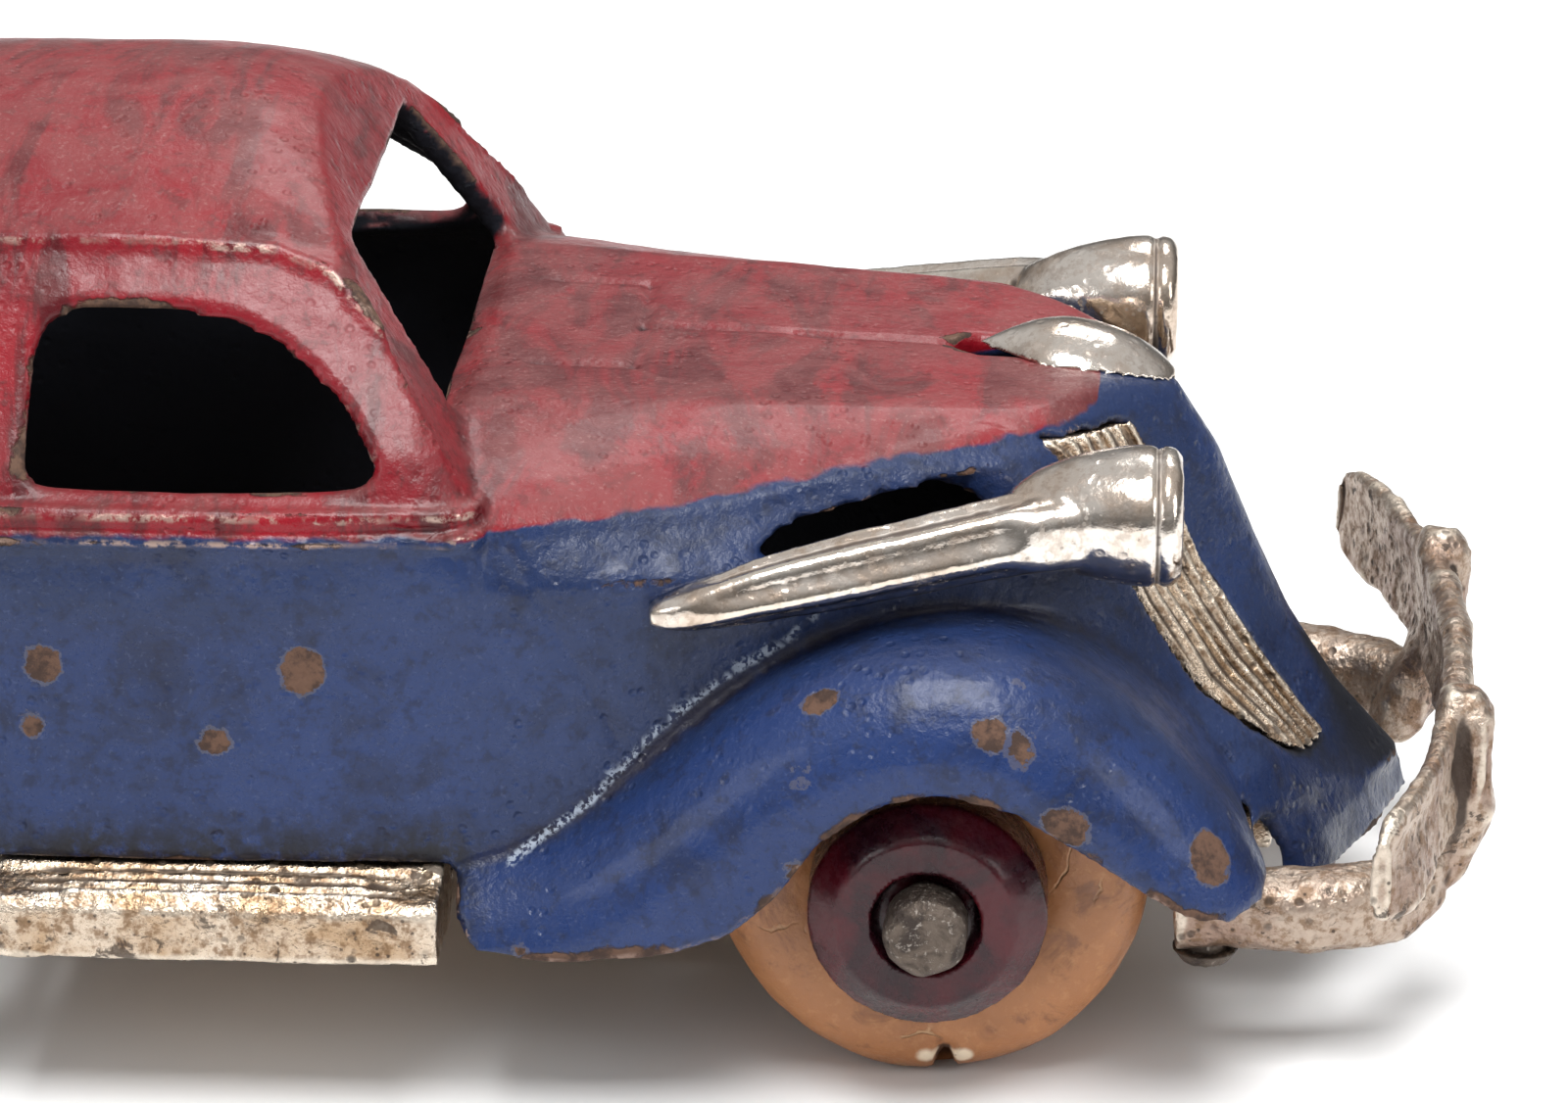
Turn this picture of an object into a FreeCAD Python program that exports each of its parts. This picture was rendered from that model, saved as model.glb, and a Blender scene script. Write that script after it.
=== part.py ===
"""Cast-iron toy saloon car, 1930s pattern: a hollow one-piece body screwed to a nickel-plated
chassis casting, with plated grille, lamps, crest and bumpers, and four rubber-tyred wheels that
run loose on riveted steel axles.

Frame: X points to the car's nose, Y to its left side, Z up. The origin is on the ground, midway
between the bumpers and on the centre line. All sizes are in millimetres.
"""
import FreeCAD
import Part

import math
import os

Vector = FreeCAD.Vector

# ---- driving sizes -------------------------------------------------------------------------
WHEELBASE = 76.0            # front axle to rear axle
BUMPER_REACH = 31.2         # axle to the outermost point of the bumper guards
BODY_HALF = 26.0            # half width of the body sides, below the belt
FENDER_HALF = 29.2          # half width over the fenders
WALL = 1.7                  # thickness of the body casting
RIM = 0.8                   # thickness of its edge round the side windows
BELT_Z = 33.3               # belt mouldings round the body
ROOF_Z = 51.3               # top of the roof
HOOD_Z = 36.6               # top of the hood at the windscreen
SILL_Z = 14.3               # lower edge of the body sides
NOSE_LENGTH = 26.4          # front axle to the foot of the prow

WHEEL_Z = 12.0              # wheel centre above the ground
WHEEL_MID = 17.6            # tyre mid plane from the centre line
TYRE_R = 12.0               # tyre outside radius
TYRE_W = 9.0                # tyre width
SEAT_R = 5.6                # tyre seat on the hub
FLANGE_R = 6.45             # hub barrel outside the tyre
HUB_FACE_Y = 27.0           # outer face of the hub from the centre line
HUB_FACE_R = 4.8            # flat ring at the outer face
HUB_BACK_Y = 12.4           # inner end of the hub from the centre line
HUB_RECESS_R = 2.95         # recess round the axle head
HUB_RECESS_DEPTH = 1.5
AXLE_R = 1.6                # steel rod
AXLE_END_Y = 29.1           # riveted end from the centre line
AXLE_HEAD_R = 2.25
AXLE_HEAD_T = 3.2
RUNNING_FIT = 0.08          # radial clearance of rod in hub, and of rod in chassis lug

BOARD_HALF = 29.0           # half width over the running boards
BOARD_END = 12.0            # half length of the running boards
BOARD_TOP_Z = 13.2
FRAME_BOTTOM_Z = 9.8        # underside of the chassis
FRAME_T = 2.0
SPINE_HALF = 11.7           # half width of the chassis between the wheels
SCREW_R = 1.5
SCREW_HEAD_R = 2.7
SCREW_HEAD_T = 1.2
FRONT_SCREW_X = 23.0
REAR_SCREW_X = -53.0
POST_R = 2.7
APRON_DEPTH = 1.3           # thickness of the skirt below the prow, front to back
RIVET_R = 1.2
RIVET_HEAD_R = 1.9
RIVET_HEAD_T = 0.8
FIT = 0.1                   # gap between castings that are fastened together

BUMPER_HALF = 28.0
BUMPER_Z = 16.2             # middle of the bar above the ground
BUMPER_H = 6.9
BUMPER_T = 2.3
BUMPER_BOW = 5.2            # how far the ends of the bar sweep back
GUARD_Y = 12.2
GUARD_TOP_Z = 20.4
GUARD_FOOT_Z = 7.0
ARM_Y = 18.0                # bumper arms, from the centre line
ARM_W = 4.4
ARM_H = 4.4
ARM_TOP_Z = 11.5

LAMP_Y = 18.0
LAMP_Z = 32.2
LAMP_FRONT = 13.2           # lens end ahead of the front axle
LAMP_R = 3.8
CREST_HALF = 5.0
GRILLE_INNER = 5.6          # edges of the grille openings from the centre line
GRILLE_OUTER = 12.0
GRILLE_FOOT_Z = 14.6
RIB_PITCH = 1.05

AXLE_X = WHEELBASE / 2.0
SHIFT = AXLE_X - 38.0       # everything ahead of the doors follows the axle
BUMPER_X = AXLE_X + BUMPER_REACH


# ---- small helpers -------------------------------------------------------------------------
def box(x0, x1, y0, y1, z0, z1):
    return Part.makeBox(x1 - x0, y1 - y0, z1 - z0, Vector(x0, y0, z0))


def cylinder(radius, start, end):
    axis = Vector(*end) - Vector(*start)
    return Part.makeCylinder(radius, axis.Length, Vector(*start), axis)


def cone(radius_start, radius_end, start, end):
    axis = Vector(*end) - Vector(*start)
    return Part.makeCone(radius_start, radius_end, axis.Length, Vector(*start), axis)


def fuse(shapes):
    joined = shapes[0]
    if len(shapes) > 1:
        joined = joined.fuse(shapes[1:])
    return joined


def mirror_y(shape):
    return shape.mirror(Vector(0, 0, 0), Vector(0, 1, 0))


def mirror_x(shape):
    return shape.mirror(Vector(0, 0, 0), Vector(1, 0, 0))


def both_sides(shape):
    return [shape, mirror_y(shape)]


def closed_wire(points):
    return Part.makePolygon([Vector(*p) for p in points + points[:1]])


def spline(points, closed=False):
    curve = Part.BSplineCurve()
    curve.interpolate(Points=[Vector(*p) for p in points], PeriodicFlag=closed)
    return curve.toShape()


def prism_y(outline, y0, y1):
    """Straight-edged outline in X and Z, extruded from y0 to y1."""
    face = Part.Face(closed_wire([(x, y0, z) for x, z in outline]))
    return face.extrude(Vector(0, y1 - y0, 0))


def prism_x(outline, x0, x1):
    """Straight-edged outline in Y and Z, extruded from x0 to x1."""
    face = Part.Face(closed_wire([(x0, y, z) for y, z in outline]))
    return face.extrude(Vector(x1 - x0, 0, 0))


def smooth_prism_y(curve, foot, y0, y1):
    """Smooth curve in X and Z, closed by straight lines down to z = foot, extruded along Y."""
    top = [(x, y0, z) for x, z in curve]
    low = [(curve[-1][0], y0, foot), (curve[0][0], y0, foot)]
    edges = [spline(top)]
    for a, b in ((top[-1], low[0]), (low[0], low[1]), (low[1], top[0])):
        edges.append(Part.LineSegment(Vector(*a), Vector(*b)).toShape())
    return Part.Face(Part.Wire(edges)).extrude(Vector(0, y1 - y0, 0))


def inset(points, distance):
    """Open run of points moved sideways by distance, to the right of its direction of travel."""
    moved = []
    last = len(points) - 1
    for i, (u, v) in enumerate(points):
        a = points[max(i - 1, 0)]
        b = points[min(i + 1, last)]
        du = b[0] - a[0]
        dv = b[1] - a[1]
        length = math.hypot(du, dv)
        moved.append((u + distance * dv / length, v - distance * du / length))
    return moved


def fit_x(x):
    """The nose and tail move out with the axles when the wheelbase changes."""
    return x + SHIFT * max(-1.0, min(1.0, x / 30.0))


# ---- body shapes ---------------------------------------------------------------------------
# plan outlines of the lower body from the nose back along one side to the tail, by height
NOSE_PLANS = (
    (11.4, ((26.4, 0), (24.4, 6), (21.8, 12), (18.0, 16.6), (11.5, 19.4), (4.0, 20.0))),
    (16.0, ((22.3, 0), (20.4, 6), (18.8, 12), (15.6, 16.4), (10.0, 18.8), (3.5, 19.6))),
    (20.0, ((19.7, 0), (17.5, 6), (14.6, 12), (11.5, 15.8), (7.8, 18.0), (2.5, 19.2))),
    (25.0, ((17.3, 0), (14.2, 6), (11.3, 12), (8.6, 15.4), (5.6, 17.6), (1.0, 18.9))),
    (30.0, ((15.3, 0), (12.0, 6), (8.8, 12), (6.6, 14.9), (4.0, 17.0), (0.0, 18.4))),
    (33.6, ((12.9, 0), (10.0, 6), (7.4, 10.8), (5.4, 13.0), (2.8, 14.5), (-1.0, 15.8))),
)
APRON_PLANS = (
    (8.9, ((26.9, 0), (25.0, 6), (22.3, 12), (20.8, 14.2))),
    (11.4, ((26.2, 0), (24.2, 6), (21.6, 12), (20.1, 14.2))),
    (14.5, ((23.3, 0), (21.4, 6), (19.5, 12), (18.0, 14.2))),
)
TAIL_PLANS = ((29.0, 0), (27.6, 7), (23.8, 14), (17.5, 20.0), (9.0, 24.4), (0.0, 25.8))
TAIL_LEAN = 0.34            # how far the tail draws in for each millimetre of height
CROWN_STEPS = ((0.9, 1.9), (1.7, 4.2), (2.4, 6.6), (3.0, 9.0))


def plan_outline(nose, height):
    """Half outline of the lower body at one height, from the nose to the tail."""
    half = BODY_HALF
    points = [(AXLE_X + dx, y) for dx, y in nose]
    lean = max(0.0, (height - 30.0) / 3.6)
    points += [(28.0 + SHIFT, (0.853 - 0.150 * lean) * half)]
    points += [(20.0, (0.935 - 0.125 * lean) * half), (11.0, (0.988 - 0.030 * lean) * half)]
    points += [(0.0, half), (-14.0, half), (-28.0 - SHIFT, half)]
    rise = max(0.0, height - 11.4)
    lean = TAIL_LEAN * rise * rise / 22.0
    for dx, y in reversed(TAIL_PLANS):
        points.append((-AXLE_X - dx + lean, y * half / 26.0))
    return points


def drawn_in(points, pull):
    """The outline narrowed towards the centre line, for the rounded shoulders of the hood."""
    moved = []
    for x, y in points:
        share = max(-1.0, min(1.0, x / 40.0))
        moved.append((x - 0.3 * pull * share, y * (1.0 - pull / 21.0)))
    return moved


def plan_wire(points, z):
    left = [(x, y) for x, y in points]
    right = [(x, -y) for x, y in reversed(points[1:-1])]
    return Part.Wire([spline([(x, y, z) for x, y in left + right], closed=True)])


def hull(shrink):
    """The body below the belt, hood included, drawn in by shrink on every side."""
    wires = []
    for z, nose in NOSE_PLANS:
        wires.append(plan_wire(inset(plan_outline(nose, z), -shrink), z))
    top_z, top_nose = NOSE_PLANS[-1]
    for rise, pull in CROWN_STEPS:
        outline = drawn_in(inset(plan_outline(top_nose, top_z), -shrink), pull)
        wires.append(plan_wire(outline, top_z + rise - 0.6 * shrink))
    solid = Part.makeLoft(wires, True, True)
    if solid.Volume < 0.0:
        solid.reverse()
    return solid.common(smooth_prism_y(deck_line(shrink), -5.0, -60.0, 60.0))


def deck_line(shrink):
    """Top line of the hood, the belt under the cabin, and the tail, seen from the side."""
    nose = [(14.5, -3.4), (10.5, -1.9), (5.5, -1.3), (0.3, -1.0), (-9.1, -0.55)]
    points = [(AXLE_X + dx, HOOD_Z + dz) for dx, dz in nose]
    points += [(20.0, HOOD_Z - 0.2), (13.0, HOOD_Z), (4.0, HOOD_Z - 0.5), (-10.0, HOOD_Z - 1.0)]
    points += [(-30.0 - SHIFT, HOOD_Z - 1.6), (-44.0 - SHIFT, HOOD_Z - 3.0)]
    points += [(-54.0 - SHIFT, 29.5), (-61.0 - SHIFT, 22.5), (-66.0 - SHIFT, 14.0)]
    points += [(-69.0 - SHIFT, 7.0)]
    ahead = [(AXLE_X + 38.0, HOOD_Z - 22.0), (AXLE_X + 25.0, HOOD_Z - 9.0)]
    return inset(ahead + points, -shrink)


# half sections of the cabin: X, then (share of body half width, height) from belt to crown
CABIN = (
    (14.5, ((0.950, 25.0), (0.940, 30.0), (0.900, 32.0), (0.70, 33.4), (0.36, 34.0), (0, 34.2))),
    (12.6, ((0.962, 25.0), (0.948, 34.0), (0.845, 37.0), (0.62, 38.6), (0.34, 39.2), (0, 39.4))),
    (9.6, ((0.972, 25.0), (0.951, 34.6), (0.805, 39.8), (0.63, 42.4), (0.34, 43.7), (0, 44.3))),
    (6.2, ((0.975, 25.0), (0.951, 34.8), (0.805, 40.2), (0.645, 44.9), (0.36, 47.2), (0, 48.2))),
    (1.7, ((0.978, 25.0), (0.950, 34.8), (0.808, 40.2), (0.662, 45.6), (0.37, 49.1), (0, 50.5))),
    (-9.0, ((0.980, 25.0), (0.950, 34.8), (0.808, 40.2), (0.665, 45.8), (0.37, 49.8), (0, 51.3))),
    (-22.0, ((0.980, 25.0), (0.948, 34.8), (0.802, 40.2), (0.652, 45.4), (0.36, 49.4), (0, 50.9))),
    (-34.0, ((0.975, 25.0), (0.925, 34.4), (0.765, 39.6), (0.60, 43.8), (0.32, 47.2), (0, 48.6))),
    (-45.0, ((0.940, 22.0), (0.855, 31.6), (0.690, 36.6), (0.52, 40.2), (0.27, 42.7), (0, 43.5))),
    (-54.0, ((0.840, 19.0), (0.735, 27.2), (0.575, 31.0), (0.41, 33.7), (0.21, 35.3), (0, 35.8))),
    (-61.0, ((0.640, 14.0), (0.530, 19.4), (0.410, 22.4), (0.29, 24.4), (0.15, 25.5), (0, 25.9))),
    (-65.2, ((0.420, 8.0), (0.350, 11.0), (0.270, 12.8), (0.19, 13.9), (0.10, 14.5), (0, 14.7))),
)


def cabin(shrink):
    """Roof, pillars and fastback tail, drawn in by shrink."""
    wires = []
    for x, half in CABIN:
        stretch = (ROOF_Z - BELT_Z) / 18.0
        points = []
        for share, z in half:
            if z > BELT_Z:
                z = BELT_Z + (z - BELT_Z) * stretch
            points.append((share * BODY_HALF, z))
        points = inset(points, -shrink)
        points[-1] = (0.0, points[-1][1])
        foot = 14.0 if x > -50.0 else 6.0
        near = [(fit_x(x), y, z) for y, z in points]
        far = [(fit_x(x), -y, z) for y, z in reversed(points[:-1])]
        corner_near = (fit_x(x), near[0][1], foot)
        corner_far = (fit_x(x), far[-1][1], foot)
        arch = spline(near + far)
        edges = [arch]
        for a, b in ((far[-1], corner_far), (corner_far, corner_near), (corner_near, near[0])):
            edges.append(Part.LineSegment(Vector(*a), Vector(*b)).toShape())
        wires.append(Part.Wire(edges))
    solid = Part.makeLoft(wires, True, False)
    return solid.cut(windscreen_side(shrink))


def windscreen_side(shrink):
    """Everything ahead of the sloping plane of the windscreen."""
    slope = (45.4 - 36.2) / (12.3 - 6.2)
    foot_x = 12.5 - shrink
    low = (foot_x + 4.0 / slope, 32.2)
    high = (foot_x - 22.0 / slope, 58.2)
    return prism_y([low, high, (40.0, 58.2), (40.0, 32.2)], -40.0, 40.0)


# crown of the front fender seen from the side, relative to the axle
FENDER_CROWN = (
    (-34.0, 14.2), (-27.0, 14.4), (-24.0, 14.9), (-20.2, 16.2), (-15.5, 19.4), (-10.7, 23.2),
    (-5.1, 26.2), (0.6, 27.3), (5.2, 26.7), (9.5, 24.4), (13.6, 20.6), (16.6, 17.0),
    (18.6, 12.8), (19.2, 6.0),
)
FENDER_ROUND = ((0.0, 0.7), (4.0, 0.7), (8.0, 0.6), (11.0, 0.25), (13.4, 0.05), (15.4, 0.45),
                (17.1, 1.5), (18.4, 3.1), (19.2, 5.2))
FENDER_EDGE = (
    (-26.4, 4.0), (-25.3, 12.4), (-24.2, 10.7), (-20.0, 10.1), (-13.7, 10.8), (-10.6, 11.9),
    (-8.0, 14.1), (-5.7, 17.3), (-2.6, 19.5), (0.6, 20.3), (4.7, 19.4), (8.0, 17.4),
    (11.6, 14.9), (14.3, 13.3), (16.2, 12.9), (19.0, 13.6), (21.5, 13.2), (24.0, 11.8),
    (32.0, 11.4), (32.0, 4.0),
)


def fender(shrink):
    """One front fender, solid, on the right side."""
    wires = []
    for dy, pull in FENDER_ROUND:
        curve = inset(list(FENDER_CROWN), shrink + pull)
        y = -(FENDER_HALF - 19.2 + dy - (shrink if dy > 0.0 else 0.0))
        top = [(AXLE_X + dx, y, z) for dx, z in curve]
        low = [(top[-1][0], y, 2.0), (top[0][0], y, 2.0)]
        edges = [spline(top)]
        for a, b in ((top[-1], low[0]), (low[0], low[1]), (low[1], top[0])):
            edges.append(Part.LineSegment(Vector(*a), Vector(*b)).toShape())
        wires.append(Part.Wire(edges))
    solid = Part.makeLoft(wires, True, False)
    return solid.common(box(BOARD_END + 0.7 + shrink, 200.0, -60.0, 0.0, 0.0, 60.0))


def fender_opening():
    """Space under the edge of one front fender and the apron, across the car."""
    outline = [(AXLE_X + dx, z) for dx, z in FENDER_EDGE]
    return prism_y(outline, -40.0, 40.0)


def apron():
    """Skirt of the nose between the bumper arms, below the foot of the prow."""
    wires = []
    for z, plan in APRON_PLANS:
        outer = [(AXLE_X + dx, y, z) for dx, y in plan]
        inner = [(AXLE_X + dx - APRON_DEPTH, y, z) for dx, y in plan]
        right = [(x, -y, h) for x, y, h in reversed(outer[1:])]
        back = [(x, -y, h) for x, y, h in inner[1:]]
        ring = right + outer + list(reversed(inner)) + back
        wires.append(closed_wire(ring))
    return Part.makeLoft(wires, True, True)


def ring_prism_y(outline, depth):
    """Side opening through both sides of the body, from |y| = depth outwards."""
    near = prism_y(outline, -40.0, -depth)
    return [near, mirror_y(near)]


FRONT_WINDOW = ((-10.0, 36.0), (-9.6, 41.4), (-8.9, 42.6), (-7.2, 43.2), (-3.0, 43.1), (0.6, 42.7),
                (3.0, 41.7), (5.0, 40.4), (7.1, 38.6), (8.6, 36.3), (8.5, 35.5), (7.6, 35.1),
                (-0.8, 34.8), (-8.6, 34.9), (-9.7, 35.3))
REAR_WINDOW = ((-13.0, 36.0), (-13.4, 41.4), (-14.3, 42.6), (-16.0, 43.2), (-22.0, 42.9),
               (-27.0, 41.6), (-30.4, 39.6), (-31.8, 37.4), (-31.4, 35.8), (-30.0, 35.1),
               (-14.2, 34.9), (-13.3, 35.3))
SCREEN = ((-15.6, 37.0), (-14.8, 36.5), (14.8, 36.5), (15.6, 37.0), (15.4, 37.8), (13.0, 44.7),
          (12.1, 45.4), (-12.1, 45.4), (-13.0, 44.7), (-15.4, 37.8))
TAIL_LIGHT = ((-0.9, 40.6), (-0.9, 46.0), (-2.0, 46.8), (-7.4, 45.9), (-9.4, 44.0), (-9.4, 41.6),
              (-8.0, 40.2), (-2.0, 39.7))
SIDE_SLOT = ((-9.8, 30.6), (-8.0, 31.7), (-3.0, 32.6), (2.4, 33.4), (5.0, 33.9), (5.0, 31.4),
             (0.0, 30.6), (-6.0, 29.4))


def body_openings():
    cuts = ring_prism_y([(fit_x(x), z) for x, z in FRONT_WINDOW], 14.0)
    cuts += ring_prism_y([(fit_x(x), z) for x, z in REAR_WINDOW], 14.0)
    cuts.append(screen_opening())
    for light in both_sides(prism_x(TAIL_LIGHT, -60.0 - SHIFT, -30.0 - SHIFT)):
        cuts.append(light)
    cuts += ring_prism_y([(AXLE_X + dx, z) for dx, z in SIDE_SLOT], 14.6)
    slot = box(AXLE_X + 2.0, AXLE_X + 6.5, -1.6, 1.6, 30.0, 40.0)
    cuts += [slot, cylinder(1.6, (AXLE_X + 2.0, 0, 30.0), (AXLE_X + 2.0, 0, 40.0))]
    cuts += both_sides(grille_region(0.0))
    return cuts


def screen_opening():
    """Opening of the windscreen, cut slantwise so that its sill slopes down into the cabin."""
    outline = []
    for y, z in SCREEN:
        x = 12.5 - (z - 36.2) * 6.1 / 9.2
        outline.append(Vector(20.0, y, z + 0.5 * (20.0 - x)))
    face = Part.Face(Part.makePolygon(outline + outline[:1]))
    return face.extrude(Vector(-19.0, 0, -9.5))


def grown(outline, amount):
    """An outline made larger all round about its middle."""
    mid_x = sum(x for x, z in outline) / len(outline)
    mid_z = sum(z for x, z in outline) / len(outline)
    moved = []
    for x, z in outline:
        away = math.hypot(x - mid_x, z - mid_z)
        share = (away + amount) / away
        moved.append((mid_x + (x - mid_x) * share, mid_z + (z - mid_z) * share))
    return moved


def window_relief():
    """Thins the wall from inside round the side windows, down to the rim."""
    inside = fuse([cabin(RIM), hull(RIM)])
    zones = []
    for outline in (FRONT_WINDOW, REAR_WINDOW):
        zones += ring_prism_y([(fit_x(x), z) for x, z in grown(outline, 1.1)], 12.0)
    return inside.common(fuse(zones))


def grille_region(gap):
    """Outline of one grille opening seen from the front, reduced by gap."""
    inner = GRILLE_INNER + gap
    outer = GRILLE_OUTER - gap
    foot = GRILLE_FOOT_Z + gap
    outline = [(-inner, foot), (-inner, 33.2 - gap), (-outer, 34.2 - gap), (-outer, foot + 4.4),
               (-outer + 0.5, foot + 2.6), (-outer + 1.7, foot + 1.1), (-outer + 3.2, foot + 0.2)]
    return prism_x(outline, AXLE_X + 3.0, AXLE_X + 26.0)


def groove_lines():
    """Engraved lines: hood crease and cowl vent on top, doors on the sides."""
    cuts = []
    top = HOOD_Z - 0.95
    cuts.append(box(20.6, AXLE_X + 0.5, -0.2, 0.2, top - 0.2, top + 3.0))
    for y0 in (-7.2, 6.8):
        cuts.append(box(15.4, 21.0, y0, y0 + 0.4, HOOD_Z - 0.55, HOOD_Z + 3.0))
    cuts.append(box(20.7, 21.1, -7.2, 7.2, HOOD_Z - 0.6, HOOD_Z + 3.0))
    return cuts


def body_shell():
    """The one-piece body casting: hood, cabin, tail and four fenders."""
    outer = fuse([hull(0.0), cabin(0.0)] + fender_set(0.0))
    inner = fuse([hull(WALL), cabin(WALL)] + fender_set(WALL))
    shell = outer.cut(inner)
    low = [box(-BOARD_END - 0.8, BOARD_END + 0.8, -60.0, 60.0, 0.0, SILL_Z)]
    low += [fender_opening(), mirror_x(fender_opening())]
    shell = shell.cut(fuse(low))
    posts = fuse([body_post(FRONT_SCREW_X), body_post(REAR_SCREW_X)])
    shell = shell.fuse(posts)
    shell = shell.cut(body_openings() + groove_lines())
    shell = shell.cut(window_relief())
    shell = shell.fuse(apron())
    shell = shell.cut(chassis_room())
    return shell.cut([screw_hole(FRONT_SCREW_X), screw_hole(REAR_SCREW_X)])


def fender_set(shrink):
    front = both_sides(fender(shrink))
    return front + [mirror_x(side) for side in front]


def chassis_room():
    """Space inside the lower body for the chassis spine and the bumper cross-members."""
    top = FRAME_BOTTOM_Z + FRAME_T + FIT
    reach = AXLE_X + 19.1
    cuts = [box(-reach, reach, -SPINE_HALF + 0.4, SPINE_HALF - 0.4, 0.0, top)]
    for sign in (-1.0, 1.0):
        a = sign * (AXLE_X + 12.9)
        b = sign * (AXLE_X + 17.4)
        high = ARM_TOP_Z + FIT + 1.9 + RIVET_HEAD_T + 0.3
        cuts.append(box(min(a, b), max(a, b), -20.6, 20.6, 0.0, high))
    return cuts


def body_post(x):
    foot = FRAME_BOTTOM_Z + FRAME_T + FIT
    post = cylinder(POST_R, (x, 0, foot), (x, 0, 50.0))
    return post.common(fuse([hull(0.5), cabin(0.5)]))


def screw_hole(x):
    return cylinder(SCREW_R, (x, 0, 0), (x, 0, FRAME_BOTTOM_Z + 8.0))


def largest(shape):
    return max(shape.Solids, key=lambda solid: solid.Volume)


# ---- chassis -------------------------------------------------------------------------------
def axle_hole(sign):
    x = sign * AXLE_X
    return cylinder(AXLE_R + RUNNING_FIT, (x, -30.0, WHEEL_Z), (x, 30.0, WHEEL_Z))


def running_board():
    """Right running board: a ribbed step with a rough outer face."""
    z0 = FRAME_BOTTOM_Z
    inner = SPINE_HALF + 10.0
    outline = [(-inner, z0), (-BOARD_HALF, z0), (-BOARD_HALF, BOARD_TOP_Z - 0.5),
               (-BOARD_HALF + 0.5, BOARD_TOP_Z), (-BODY_HALF - 0.3, BOARD_TOP_Z + 0.45),
               (-BODY_HALF + 0.2, SILL_Z - 0.15), (-inner, SILL_Z - 0.15)]
    board = prism_x(outline, -BOARD_END, BOARD_END)
    for i in range(3):
        y = -BOARD_HALF + 0.85 + 0.8 * i
        z = BOARD_TOP_Z + 0.02 + 0.13 * i
        board = board.fuse(cylinder(0.33, (-BOARD_END + 4.0, y, z), (BOARD_END - 4.0, y, z)))
    return board


def chassis_frame():
    """Plated chassis casting: spine, running boards, axle lugs and bumper cross-members."""
    z0 = FRAME_BOTTOM_Z
    z1 = FRAME_BOTTOM_Z + FRAME_T
    reach = AXLE_X + 18.8
    pieces = [box(-reach, reach, -SPINE_HALF + 0.7, SPINE_HALF - 0.7, z0, z1)]
    pieces.append(box(-BOARD_END, BOARD_END, -SPINE_HALF - 11.0, SPINE_HALF + 11.0, z0, z1))
    pieces += both_sides(running_board())
    for sign in (-1.0, 1.0):
        x = sign * AXLE_X
        for y0 in (-SPINE_HALF, SPINE_HALF - 3.2):
            pieces.append(box(x - 4.2, x + 4.2, y0, y0 + 3.2, z0, WHEEL_Z + 2.6))
            pieces.append(cylinder(4.2, (x, y0, WHEEL_Z), (x, y0 + 3.2, WHEEL_Z)))
        a = sign * (AXLE_X + 13.6)
        b = sign * (AXLE_X + 16.6)
        pieces.append(box(min(a, b), max(a, b), -20.2, 20.2, ARM_TOP_Z + FIT, ARM_TOP_Z + FIT + 1.9))
    frame = fuse(pieces)
    under = box(-200.0, 200.0, -60.0, 60.0, 0.0, z0)
    cuts = [under]
    for sign in (-1.0, 1.0):
        x = sign * AXLE_X
        cuts.append(box(x - 3.0, x + 3.0, -SPINE_HALF + 3.2, SPINE_HALF - 3.2, 0.0, 20.0))
        cuts.append(axle_hole(sign))
        for y in (-ARM_Y, ARM_Y):
            rivet_x = sign * (AXLE_X + 15.1)
            cuts.append(cylinder(RIVET_R + 0.05, (rivet_x, y, 0.0), (rivet_x, y, 30.0)))
    for x in (FRONT_SCREW_X, REAR_SCREW_X):
        cuts.append(cylinder(SCREW_R + 0.05, (x, 0, 0), (x, 0, 30.0)))
        top = z0 + SCREW_HEAD_T + 0.05
        cuts.append(cone(SCREW_HEAD_R + 0.05, SCREW_R + 0.05, (x, 0, z0), (x, 0, top)))
    return frame.cut(cuts)


def body_screw(x):
    """Countersunk slotted screw from the chassis up into a body post."""
    z0 = FRAME_BOTTOM_Z
    head = cone(SCREW_HEAD_R, SCREW_R, (x, 0, z0), (x, 0, z0 + SCREW_HEAD_T))
    shank = cylinder(SCREW_R - 0.02, (x, 0, z0 + 0.2), (x, 0, z0 + 7.6))
    slot = box(x - 3.0, x + 3.0, -0.3, 0.3, z0 - 1.0, z0 + 0.6)
    return head.fuse(shank).cut(slot)


def bumper_rivet(x, y):
    low = ARM_TOP_Z - ARM_H
    high = ARM_TOP_Z + FIT + 1.9
    shank = cylinder(RIVET_R, (x, y, low - 0.1), (x, y, high + 0.1))
    foot = cone(RIVET_HEAD_R * 0.7, RIVET_HEAD_R, (x, y, low - RIVET_HEAD_T), (x, y, low))
    head = cone(RIVET_HEAD_R, RIVET_HEAD_R * 0.7, (x, y, high), (x, y, high + RIVET_HEAD_T))
    return fuse([shank, foot, head])


# ---- bumpers -------------------------------------------------------------------------------
def rounded(plane, at, centre, half_u, half_v):
    """Closed rounded-oblong wire. plane is the axis it is square to, at the place on it."""
    ring = []
    for i in range(12):
        a = 2.0 * math.pi * i / 12.0
        c = math.cos(a)
        s = math.sin(a)
        u = centre[0] + half_u * math.copysign(abs(c) ** 0.7, c)
        v = centre[1] + half_v * math.copysign(abs(s) ** 0.7, s)
        place = {"x": (at, u, v), "y": (u, at, v), "z": (u, v, at)}[plane]
        ring.append(place)
    return Part.Wire([spline(ring, closed=True)])


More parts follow.
